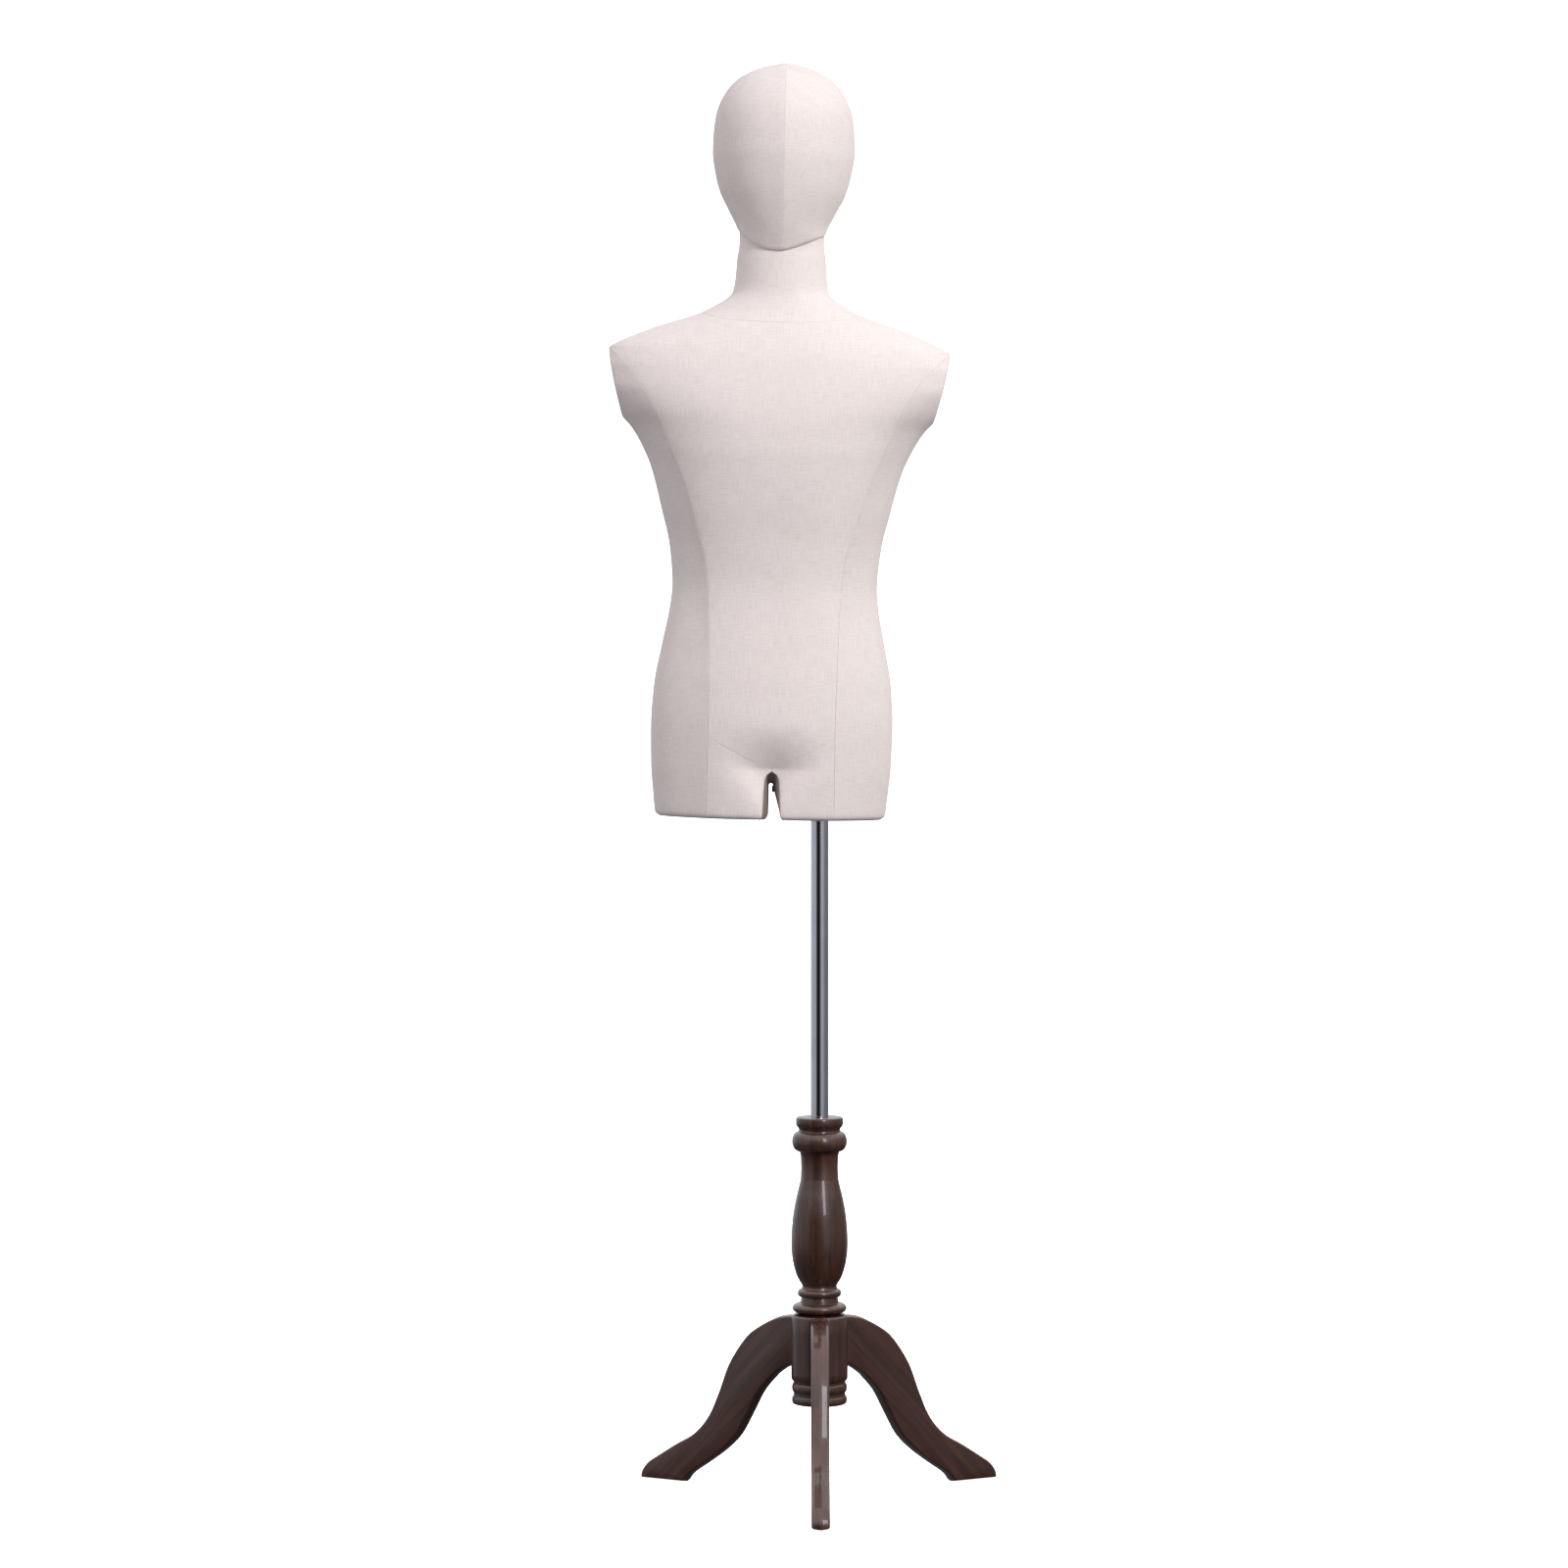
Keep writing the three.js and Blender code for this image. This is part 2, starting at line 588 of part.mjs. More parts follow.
// Extra foam between the shell and the cloth, at the shoulder tips and round the groin.
function extraFoam(z) {
  return SHOULDER_PAD * Math.exp(-(((z - SHOULDER_PAD_Z) / SHOULDER_PAD_SPREAD) ** 2))
    + GROIN_PAD * Math.exp(-(((z - GROIN_MID_Z) / GROIN_PAD_SPREAD) ** 2));
}

function makeFrontPanel() {
  const rise = (u, v) => {
    const top = neckSeamHeight(mix(0, Math.PI, u)) - SEAM;
    const bottom = groinHeight(u) + SEAM;
    return v < 0.25 ? mix(bottom, GROIN_TOP_Z, v * 4) : panelHeight((v - 0.25) / 0.75, GROIN_TOP_Z, top);
  };
  return cutArmholes(toSolid(panel(form, 12, 20, frontAngle, rise)), ARMHOLE_INSET);
}

function makeBackPanel(side) {
  const angleAt = (u, z) => {
    const outer = 2 * Math.PI - seamAngle(z) - seamGap(z);
    const middle = 1.5 * Math.PI + seamGap(z);
    return side > 0 ? mix(middle, outer, u) : mix(3 * Math.PI - outer, 3 * Math.PI - middle, u);
  };
  const rise = (u, v) => {
    const quarter = side > 0 ? 1.5 + u / 2 : 1 + u / 2;
    const top = neckSeamHeight(quarter * Math.PI) - SEAM;
    return panelHeight(v, FORM_FOOT_Z + 3, top);
  };
  return cutArmholes(toSolid(panel(form, 6, 18, angleAt, rise)), ARMHOLE_INSET).subtract(thighGap(0));
}

function makeSidePanel(side) {
  const angleAt = (u, z) => {
    const reach = seamAngle(z) - seamGap(z);
    return side > 0 ? mix(-reach, reach, u) : Math.PI + mix(-reach, reach, u);
  };
  const rise = (u, v) => panelHeight(v, FORM_FOOT_Z + 3, 1390);
  return cutArmholes(toSolid(panel(form, 6, 14, angleAt, rise)), ARMHOLE_INSET);
}

function makeThighPanel(side) {
  const angleAt = (u, z) => {
    const middle = form.angleOf(CROTCH_X, z);
    const outer = seamAngle(z) + seamGap(z);
    const gap = seamGap(z);
    return side > 0 ? mix(outer, middle - gap, u) : mix(middle + gap, Math.PI - outer, u);
  };
  const rise = (u, v) => {
    const towardsMiddle = side > 0 ? u : 1 - u;
    return mix(FORM_FOOT_Z + 3, mix(GROIN_SIDE_Z, GROIN_MID_Z, towardsMiddle) - SEAM, v);
  };
  return toSolid(panel(form, 6, 6, angleAt, rise)).subtract(thighGap(0));
}

function makeArmholeCover(side) {
  const [halfDepth, halfHeight] = ARMHOLE_HALF;
  const oval = new THREE.Shape();
  oval.absellipse(0, 0, halfDepth, halfHeight, 0, 2 * Math.PI, false);
  const thickness = ARMHOLE_INSET - FIT;
  const geometry = new THREE.ExtrudeGeometry(oval, {
    depth: thickness, bevelEnabled: false, curveSegments: 14,
  });
  geometry.rotateY(Math.PI / 2);
  geometry.rotateX(Math.PI / 2);
  geometry.translate(-thickness, 0, 0);
  geometry.rotateY(radians(ARMHOLE_TILT));
  const drop = ARMHOLE_TOP[1] - ARMHOLE_MID_Z;
  geometry.translate(ARMHOLE_TOP[0] - drop * Math.tan(radians(ARMHOLE_TILT)), 0, ARMHOLE_MID_Z);
  const solid = toSolid(geometry);
  return side > 0 ? solid : solid.mirror([1, 0, 0]);
}

function stubOf(solid, side) {
  const [from, to] = side > 0 ? [CROTCH_X, 300] : [-300, CROTCH_X];
  return solid.intersect(box(from, to, -300, 300, 700, 1000));
}

// Upright pieces are cut from the leaning form after they are turned into its frame, and back again.
function toFormFrame(solid) {
  return solid.translate([-FORM_X, 0, -FORM_FOOT_Z]).rotate([0, -FORM_LEAN, 0]).translate([0, 0, FORM_FOOT_Z]);
}

function toPoleFrame(solid) {
  return solid.translate([0, 0, -FORM_FOOT_Z]).rotate([0, FORM_LEAN, 0]).translate([FORM_X, 0, FORM_FOOT_Z]);
}

function makeShell() {
  const outer = cutArmholes(filled(form, BODY_ROWS, BODY_SEGMENTS, (z) => SHELL_OUT + extraFoam(z)), SHELL_OUT)
    .subtract(thighGap(SHELL_OUT))
    .subtract(box(-300, 300, -300, 300, 800, SHELL_FOOT_Z));
  const hollow = filled(form, INNER_ROWS, INNER_SEGMENTS, (z) => SHELL_IN + extraFoam(z));
  const inner = cutArmholes(hollow, SHELL_IN + 1).subtract(thighGap(SHELL_IN));
  return outer.subtract(inner).subtract(clampHole());
}

function clampHole() {
  return toFormFrame(toSolid(rod(CLAMP_SCREW_R + 1.5, [CLAMP_HEAD_X + 20, 0, CLAMP_Z],
    [CLAMP_HEAD_X - 4, 0, CLAMP_Z], 12)));
}

function makeThighEnd(side) {
  const slice = filled(form, [FORM_FOOT_Z, FORM_FOOT_Z + CLOTH + FIT], BODY_SEGMENTS, 0).subtract(thighGap(0));
  const cover = stubOf(slice, side);
  const poleHole = toSolid(rod(POLE_R + 2, [0, 0, FORM_FOOT_Z - 20], [0, 0, FORM_FOOT_Z + 20], 24));
  return cover.subtract(toFormFrame(poleHole));
}

function makeThighBoard(side) {
  const inset = SHELL_IN + 2.4;
  const plug = filled(form, [FORM_FOOT_Z - 6, FORM_FOOT_Z + 40], BODY_SEGMENTS, inset);
  return stubOf(plug.subtract(thighGap(inset)), side);
}

function makeSocketBoard() {
  const level = box(-300, 300, -300, 300, ...BOARD_Z);
  const socketHole = toSolid(rod(SOCKET_OUT_R + 0.5, [0, 0, BOARD_Z[0] - 5], [0, 0, BOARD_Z[1] + 5], 24));
  const board = toPoleFrame(makeThighBoard(1)).intersect(level).subtract(socketHole);
  return flangeScrewPlaces().reduce(
    (solid, [x, y]) => solid.subtract(toSolid(rod(2.3, [x, y, BOARD_Z[0] + 1.5], [x, y, BOARD_Z[1] + 5], 8))),
    board,
  );
}

function makeGapLining() {
  const arch = thighGap(CLOTH)
    .subtract(thighGap(0))
    .subtract(box(-300, 300, -300, 300, 700, SHELL_FOOT_Z - 0.5));
  return arch.intersect(filled(form, BODY_ROWS, BODY_SEGMENTS, CLOTH + LINING_CLEAR)).subtract(clampHole());
}

// A closed band round the neck, from the curved neck seam up to the neck's top.
function makeNeckCover() {
  const heights = [0, 0.14, 0.28, 0.45, 0.62, 0.76, 0.86, 1];
  const outer = heights.map((v) => new THREE.Vector2(2, v));
  const inner = heights.toReversed().map((v) => new THREE.Vector2(1, v));
  const geometry = new THREE.LatheGeometry([...outer, ...inner, outer[0].clone()], 24);
  const position = geometry.attributes.position;
  for (let i = 0; i < position.count; i++) {
    const angle = Math.atan2(-position.getX(i), position.getZ(i));
    const inward = Math.hypot(position.getX(i), position.getZ(i)) > 1.5 ? 0 : CLOTH;
    const z = mix(neckSeamHeight(angle) + SEAM, NECK_TOP_Z, position.getY(i));
    const point = form.at(angle, z, inward);
    position.setXYZ(i, ...point);
  }
  return toSolid(geometry);
}

const covered = new THREE.Group();
covered.add(mesh('torso_shell', makeShell(), shellResin()));
covered.add(mesh('front_panel', makeFrontPanel(), linen()));
covered.add(mesh('gap_lining', makeGapLining(), linen()));
covered.add(mesh('neck_cover', makeNeckCover(), linen()));
for (const [name, side] of Object.entries({ right: 1, left: -1 })) {
  covered.add(mesh(`back_panel_${name}`, makeBackPanel(side), linen()));
  covered.add(mesh(`side_panel_${name}`, makeSidePanel(side), linen()));
  covered.add(mesh(`thigh_panel_${name}`, makeThighPanel(side), linen()));
  covered.add(mesh(`armhole_cover_${name}`, makeArmholeCover(side), linen()));
  covered.add(mesh(`thigh_end_${name}`, makeThighEnd(side), linen()));
}
const levelSlab = box(-300, 300, -300, 300, BOARD_Z[0] + 0.5, BOARD_Z[1] + 0.5);
covered.add(mesh('thigh_board_left', makeThighBoard(-1).intersect(levelSlab), plywood()));
support.add(mesh('thigh_board_right', makeSocketBoard(), plywood()));

// ---------- neck fittings ----------
covered.add(mesh('neck_block', ring(PEG_R + FIT, 40.9, NECK_TOP_Z - 18, NECK_TOP_Z - FIT), plywood()));
covered.add(mesh('neck_peg', rod(PEG_R, [0, 0, NECK_TOP_Z - 32], [0, 0, NECK_TOP_Z + 34], 16), steel()));
covered.add(mesh('neck_peg_nut', hexNut(PEG_R + FIT, 10.5, [0, 0, NECK_TOP_Z - 26], [0, 0, NECK_TOP_Z - 18.3]),
  steel()));
covered.add(mesh('neck_washer', ring(PEG_R + FIT, 30, NECK_TOP_Z + FIT, HEAD_CORE_Z + 0.2), nylon()));

// ---------- head ----------
const HEAD_ROWS = [1520, 1548, 1566, 1586, 1610, 1636, 1664, 1690, 1711, 1728, 1740, 1748.5, 1752.6];
const HEAD_SEGMENTS = 20;
const CORE_ROWS = [HEAD_CORE_Z, ...HEAD_ROWS.filter((z) => z > HEAD_CORE_Z)];

function makeHeadCover(side) {
  const top = HEAD_ROWS.at(-1);
  const hemTilt = Math.atan2(HEAD_HEM_BACK_Z - HEAD_HEM_FRONT_Z, 2 * HEAD_BORE_R);
  const belowHem = box(-100, 100, -120, 120, -60, 0)
    .rotate([THREE.MathUtils.radToDeg(hemTilt), 0, 0])
    .translate([0, 0, (HEAD_HEM_FRONT_Z + HEAD_HEM_BACK_Z) / 2]);
  const neckBore = toSolid(rod(HEAD_BORE_R, [0, 0, 1500], [0, 0, HEAD_CORE_Z + 2], 32));
  const [from, to] = side > 0 ? [SEAM / 2, 120] : [-120, -SEAM / 2];
  const half = box(from, to, -150, 150, 1500, 1800);
  return filled(egg, HEAD_ROWS, HEAD_SEGMENTS, 0)
    .subtract(filled(egg, HEAD_ROWS.with(0, 1510), HEAD_SEGMENTS, HEAD_CLOTH, top - HEAD_CLOTH))
    .subtract(neckBore)
    .subtract(belowHem)
    .intersect(half);
}

function makeHeadCore() {
  const top = HEAD_ROWS.at(-1);
  const hollowRows = [HEAD_CORE_Z - 8, 1586, 1620, 1664, 1700, 1728, 1744, top];
  return filled(egg, CORE_ROWS, HEAD_SEGMENTS, 3.2, top - 3.2)
    .subtract(filled(egg, hollowRows, 16, 6.7, top - 6.7));
}

const head = new THREE.Group();
head.add(mesh('head_core', makeHeadCore(), shellResin()));
head.add(mesh('head_cover_left', makeHeadCover(-1), linen()));
head.add(mesh('head_cover_right', makeHeadCover(1), linen()));
head.add(mesh('head_plate', ring(PEG_R + 0.5, 51.5, HEAD_CORE_Z + 0.6, HEAD_CORE_Z + 11), plywood()));

// ---------- assembly ----------
const leaning = new THREE.Group();
leaning.position.set(FORM_X, 0, FORM_FOOT_Z);
leaning.rotation.y = radians(FORM_LEAN);
const upward = new THREE.Group();
upward.position.z = -FORM_FOOT_Z;
upward.add(covered, head);
leaning.add(upward);

const dressForm = new THREE.Group();
dressForm.position.set(POLE_X, POLE_Y, 0);
dressForm.add(base, support, leaning);

export default dressForm;
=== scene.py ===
"""Looks of a dress form mannequin: a linen-covered half body with an egg head, on a chrome pole
that stands in a turned walnut column with three S-curved legs. Metres in the row frame; the tables
of the form's shape are in millimetres, in the form's own frame, before it leans."""

import json
import math

import bmesh
import bpy
import numpy as np
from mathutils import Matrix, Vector


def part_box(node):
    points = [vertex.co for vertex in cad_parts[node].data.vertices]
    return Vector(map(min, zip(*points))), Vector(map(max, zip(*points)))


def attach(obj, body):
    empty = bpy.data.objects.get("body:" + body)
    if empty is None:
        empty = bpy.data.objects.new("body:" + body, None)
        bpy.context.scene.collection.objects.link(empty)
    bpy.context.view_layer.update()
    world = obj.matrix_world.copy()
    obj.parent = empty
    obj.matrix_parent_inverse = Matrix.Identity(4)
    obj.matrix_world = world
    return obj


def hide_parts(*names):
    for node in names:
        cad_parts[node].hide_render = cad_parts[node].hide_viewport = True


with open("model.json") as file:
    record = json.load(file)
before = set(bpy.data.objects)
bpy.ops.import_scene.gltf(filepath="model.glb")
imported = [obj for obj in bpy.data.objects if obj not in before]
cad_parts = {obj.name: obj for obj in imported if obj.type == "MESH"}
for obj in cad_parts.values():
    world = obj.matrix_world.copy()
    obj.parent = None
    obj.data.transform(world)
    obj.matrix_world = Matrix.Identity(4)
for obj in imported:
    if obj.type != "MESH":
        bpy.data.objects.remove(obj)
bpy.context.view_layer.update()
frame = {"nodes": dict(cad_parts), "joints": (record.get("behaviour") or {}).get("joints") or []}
joints = {joint["name"]: joint for joint in frame["joints"]}
scene = bpy.context.scene
MM = 0.001
SIDES = ((1, "right"), (-1, "left"))

# ---------- where things are ----------
pole_low, pole_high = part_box("pole")
POLE_X = (pole_low.x + pole_high.x) / 2
POLE_Y = (pole_low.y + pole_high.y) / 2
POLE_FOOT = pole_low.z
POLE_TOP = pole_high.z

NECK_TOP_Z = 1556.0  # the head's turning point, in the form's frame
neck_pivot = Vector(joints["head_turn"]["pos_m"])
form_up = Vector(joints["head_turn"]["axis"]).normalized()
form_turn = Vector((0, 0, 1)).rotation_difference(form_up).to_matrix()
form_frame = np.array(form_turn, float)


def form_to_row(points):
    """Points in the form's frame, in millimetres, as points in the row frame, in metres."""
    local = (np.asarray(points, float) - [0, 0, NECK_TOP_Z]) * MM
    return local @ form_frame.T + np.array(neck_pivot)


def row_to_form(points):
    local = (np.asarray(points, float) - np.array(neck_pivot)) @ form_frame
    return local / MM + [0, 0, NECK_TOP_Z]


# ---------- the form's shape ----------
FORM_FOOT_Z = 834.0
TORSO = [
    (800, 139, 96, 94), (834, 141, 98, 97), (860, 143.5, 100, 101), (900, 147, 103, 104),
    (948, 148, 105, 106), (996, 145, 103, 104), (1044, 136.5, 98, 97), (1092, 127.5, 93, 89),
    (1116, 125.3, 92, 87), (1164, 129.5, 96, 89), (1212, 140.5, 103, 95), (1260, 153.8, 109, 101),
    (1284, 164.5, 111, 103), (1308, 179, 111, 104), (1325, 195.5, 110, 104), (1340, 207.8, 108, 103),
    (1360, 219.5, 104, 101), (1380, 221.2, 99, 96), (1395, 215, 94, 91), (1404, 209, 90, 88),
    (1428, 159, 77, 76), (1452, 91, 63, 66), (1476, 58.5, 56.6, 57.4), (1500, 55.2, 55.2, 55.2),
    (1516, 54.2, 54.2, 54.2), (1528, 52.4, 52.4, 52.4), (1536, 52, 52, 52), (1580, 52, 52, 52),
]
HEAD_TOP_Z = 1752.6
HEAD = [
    (1520, 53.6, 56, 53.6), (1531, 53.7, 60, 53.7), (1548, 54.6, 69, 54.6), (1572, 65, 79, 63.5),
    (1596, 77, 87, 79.5), (1620, 83.4, 92, 94), (1644, 86.8, 95, 102.5), (1668, 86, 94.5, 105),
    (1692, 82.8, 90.5, 102), (1716, 72.6, 79.5, 91), (1733, 58, 64, 73.5), (1745, 37.5, 41, 48),
    (1751, 18, 20, 23), (HEAD_TOP_Z, 0, 0, 0),
]
PRINCESS = [
    (820, 78), (935, 77), (1066, 79), (1144, 84), (1183, 95), (1238, 111), (1284, 131),
    (1339, 155), (1373, 179), (1392, 196.5), (1404, 208.9),
]
NECK_SEAM = {"front": 1436.0, "side": 1450.0, "back": 1462.0}
SHOULDER_TIP = (209.0, 1404.0)
ARMHOLE_TILT = math.radians(12.5)
ARMHOLE_LOW_Z = 1318.0
CROTCH_X = 1.5
CROTCH_TOP_Z = 885.0
CROTCH_HALF = (7.0, 10.5)  # half width of the gap at its front: at its top, at the thigh ends
THROAT_TOP_Z = 875.0  # inside, where the thighs come closest together, it is narrower
THROAT_LEFT = -2.2
THROAT_RIGHT = (3.2, 14.0)  # the pole-side face, at its top and at the thigh end
CROTCH_ROUND = 8.5  # radius of the thigh ends' corners at the gap
GROIN_Z = (896.0, 935.0)  # height of the groin seams: at the middle, at the princess seams
GROIN_TOP_Z = 950.0
CROTCH_HOLLOW = 19.0
CROTCH_HOLLOW_WIDTH = 42.0
CROTCH_HOLLOW_FADE = 32.0
GROIN_REACH = 72.0  # from the middle to the princess seams at the groin
GROIN_MIDDLE_Z = 915.0
NECK_R = 52.0
FLANK = 6.0  # how much flatter than an oval the sides are
FLANK_FADE_Z = (1280, 1360)  # the heights between which that gets less
SQUARE_POWER = 2.35  # of the torso's sections; 2 is an oval, as at the neck

# ---------- cloth ----------
CLOTH = 2.2  # linen on its foam backing
SEAM_ROUND = 0.6  # radius of a panel's edge where it turns into a seam
FLAT_ROUND = 0.2  # the same at the flattest seams
END_ROUND = 5.0  # the same at the thigh ends
PUCKER = 8.5  # between two puckers along a seam
EDGE_STEPS = [0, 0.25, 0.7, 1.4, 2.6, 4.5, 7.5, 12]


class Curve:
    """A smooth curve through a table of stations that never overshoots."""

    def __init__(self, rows, key=lambda z: z):
        table = np.array(rows, float)
        self.key = key
        self.x = key(table[:, 0])
        self.y = table[:, 1:]
        if self.x[0] > self.x[-1]:
            self.x, self.y = self.x[::-1], self.y[::-1]
        slope = np.diff(self.y, axis=0) / np.diff(self.x)[:, None]
        before, after = slope[:-1], slope[1:]
        product = before * after
        total = np.where(np.abs(before + after) < 1e-12, 1, before + after)
        inner = np.where(product <= 0, 0, 2 * product / total)
        self.tangent = np.concatenate([slope[:1], inner, slope[-1:]])

    def at(self, z, column=0):
        x = np.clip(self.key(np.asarray(z, float)), self.x[0], self.x[-1])
        i = np.clip(np.searchsorted(self.x, x, side="right") - 1, 0, len(self.x) - 2)
        span = self.x[i + 1] - self.x[i]
        t = (x - self.x[i]) / span
        y, g = self.y[:, column], self.tangent[:, column]
        return (
            (2 * t**3 - 3 * t**2 + 1) * y[i] + (t**3 - 2 * t**2 + t) * span * g[i]
            + (3 * t**2 - 2 * t**3) * y[i + 1] + (t**3 - t**2) * span * g[i + 1]
        )


def stack(*parts):
    """Numbers or arrays side by side, such as x, y and z as points."""
    return np.stack(np.broadcast_arrays(*parts), -1)


def smoothstep(x, low, high):
    t = np.clip((np.asarray(x, float) - low) / (high - low), 0, 1)
    return t * t * (3 - 2 * t)


def between(pair, share):
    return pair[0] + (pair[1] - pair[0]) * share


def crotch_hollow(x, z):
    """How far the front is drawn in at the crotch."""
    across = np.abs(x - CROTCH_X)
    groin = between(GROIN_Z, np.minimum(1, across / GROIN_REACH))
    fold = groin - 4 - 6 * np.exp(-((across / 16) ** 2))
    below = np.maximum(0, fold - z) / CROTCH_HOLLOW_FADE
    rise = np.clip((GROIN_TOP_Z - z) / (GROIN_TOP_Z - GROIN_Z[0]), 0, 1) ** 1.7
    return CROTCH_HOLLOW * rise * np.exp(-((across / CROTCH_HOLLOW_WIDTH) ** 2) - below**2)


def flank_hollow(x, z):
    """How far each side is drawn flat between a princess seam and the body's widest line."""
    reach, seam = torso_curve.at(z), princess.at(z)
    share = np.clip((np.abs(x) - seam) / np.maximum(reach - seam, 1e-6), 0, 1)
    fade = 1 - 0.65 * smoothstep(z, *FLANK_FADE_Z)
    return FLANK * 4 * share * (1 - share) * np.clip((reach - seam) / 40, 0, 1) * fade


class Body:
    """A body of oval sections. Angle 0 is the +X side and a quarter turn is the front (-Y)."""

    def __init__(self, curve, power, front_hollow=lambda x, z: 0, side_hollow=lambda x, z: 0):
        self.curve, self.power = curve, power
        self.front_hollow, self.side_hollow = front_hollow, side_hollow

    def raw(self, angle, z):
        angle, z = np.broadcast_arrays(np.asarray(angle, float), np.asarray(z, float))
        share = 2 / self.power(z)
        c, s = np.cos(angle), np.sin(angle)
        front = s > 0
        x = self.curve.at(z, 0) * np.sign(c) * np.abs(c) ** share
        depth = np.where(front, self.curve.at(z, 1), self.curve.at(z, 2))
        y = -depth * np.sign(s) * np.abs(s) ** share + np.sign(s) * self.side_hollow(x, z)
        y = y + np.where(front, self.front_hollow(x, z), 0)
        return stack(x, y, z)

    def normal(self, angle, z):
        around = self.raw(angle + 0.01, z) - self.raw(angle - 0.01, z)
        up = self.raw(angle, z + 0.5) - self.raw(angle, z - 0.5)
        n = np.cross(up, around)
        size = np.linalg.norm(n, axis=-1, keepdims=True)
        return np.where(size < 1e-6, [0.0, 0.0, 1.0], n / np.maximum(size, 1e-9))

    def angle_of(self, x, z):
        share = np.clip(x / self.curve.at(z, 0), -1, 1)
        return np.arccos(np.sign(share) * np.abs(share) ** (self.power(z) / 2))


torso_curve, princess = Curve(TORSO), Curve(PRINCESS)
torso = Body(
    torso_curve, lambda z: SQUARE_POWER - (SQUARE_POWER - 2) * smoothstep(z, 1400, 1490),
    crotch_hollow, flank_hollow,
)
head = Body(Curve(HEAD, key=lambda z: np.sqrt(np.maximum(HEAD_TOP_Z - z, 0))), lambda z: 2 + 0 * z)


def seam_angle(z):
    return torso.angle_of(princess.at(z), z)


def corner_flare(z):
    """How far the gap opens out at the thigh ends' rounded corners."""
    corner = np.clip(FORM_FOOT_Z + CROTCH_ROUND - 0.5 - z, 0, CROTCH_ROUND)
    return CROTCH_ROUND - np.sqrt(CROTCH_ROUND**2 - 0.85 * corner**2)


def half_gap(z):
    """Half the width of the gap between the thighs at a height."""
    share = np.clip((CROTCH_TOP_Z - z) / (CROTCH_TOP_Z - FORM_FOOT_Z), 0, 1)
    half = between(CROTCH_HALF, share) + corner_flare(z)
    rise = np.clip(z - CROTCH_TOP_Z, 0, CROTCH_HALF[0])
    return np.where(z > CROTCH_TOP_Z, np.sqrt(np.maximum(CROTCH_HALF[0] ** 2 - rise**2, 0)), half)


def groin_height(angle):
    middle = torso.angle_of(CROTCH_X, GROIN_MIDDLE_Z)
    right, left = seam_angle(GROIN_MIDDLE_Z), math.pi - seam_angle(GROIN_MIDDLE_Z)
    away = np.where(
        angle < middle, (middle - angle) / (middle - right), (angle - middle) / (left - middle)
    )
    return between(GROIN_Z, np.clip(away, 0, 1))


def neck_seam_height(angle):
    s = np.sin(angle)
    front, back = np.maximum(0, s) ** 2, np.maximum(0, -s) ** 2
    return (
        NECK_SEAM["side"] + (NECK_SEAM["front"] - NECK_SEAM["side"]) * front
        + (NECK_SEAM["back"] - NECK_SEAM["side"]) * back
    )


def smooth_noise(points, size, seed):
    """Soft seeded noise from -1 to 1 at points, with features of about that size."""
    rng = np.random.default_rng(seed)
    total = np.zeros(np.asarray(points).shape[:-1])
    for _ in range(10):
        direction = rng.normal(size=3)
        direction *= rng.uniform(0.6, 1.4) / np.linalg.norm(direction)
        total += np.sin(points @ direction * (math.tau / size) + rng.uniform(0, math.tau))
    return total / 4


def edge_drop(distance, radius):
    """Depth of a panel's face near an edge that turns in, and the pull of its stitches."""
    turn = np.clip(1 - distance / radius, 0, 1)
    pull = 0.3 * radius * np.exp(-distance / 4.0)
    return radius * (1 - np.sqrt(np.maximum(0, 1 - turn**2))) + pull


# ---------- meshes ----------
def new_mesh(name, points, faces, uv=None, in_row=False):
    mesh = bpy.data.meshes.new(name)
    placed = points if in_row else form_to_row(points)
    mesh.from_pydata([tuple(p) for p in placed], [], faces)
    mesh.validate()
    if uv is not None:
        layer = mesh.uv_layers.new(name="UVMap")
        index = np.empty(len(mesh.loops), np.int32)
        mesh.loops.foreach_get("vertex_index", index)
        layer.data.foreach_set("uv", np.asarray(uv, np.float32)[index].ravel())
    mesh.polygons.foreach_set("use_smooth", [True] * len(mesh.polygons))
    mesh.update()
    piece = bpy.data.objects.new(name, mesh)
    scene.collection.objects.link(piece)
    return piece


def grid_faces(rows, columns, offset=0, flip=False, wrap=False):
    across = np.arange(columns if wrap else columns - 1)
    low, i = np.meshgrid(np.arange(rows - 1) * columns, across, indexing="ij")
    k, high = (i + 1) % columns, low + columns
    quads = stack(low + i, high + i, high + k, low + k).reshape(-1, 4) + offset
    return (quads[:, ::-1] if flip else quads).tolist()


def outward(piece):
    """Turns every face of a closed piece to face out."""
    work = bmesh.new()
    work.from_mesh(piece.data)
    bmesh.ops.remove_doubles(work, verts=work.verts, dist=1e-6)
    bmesh.ops.recalc_face_normals(work, faces=work.faces)
    work.to_mesh(piece.data)
    work.free()
    return piece


def fractions(pitch, length):
    """Places along an edge of about that length: fine near both ends, even between."""
    ends = [s for s in EDGE_STEPS if s < length * 0.3]
    inner = length - ends[-1] - ends[-1]
    count = max(2, round(inner / pitch))
    middle = [ends[-1] + inner * k / count for k in range(1, count)]
    high = [length - s for s in ends][::-1]
    share = (np.array(middle) - ends[-1]) / (high[0] - ends[-1])
    return ends, share, high


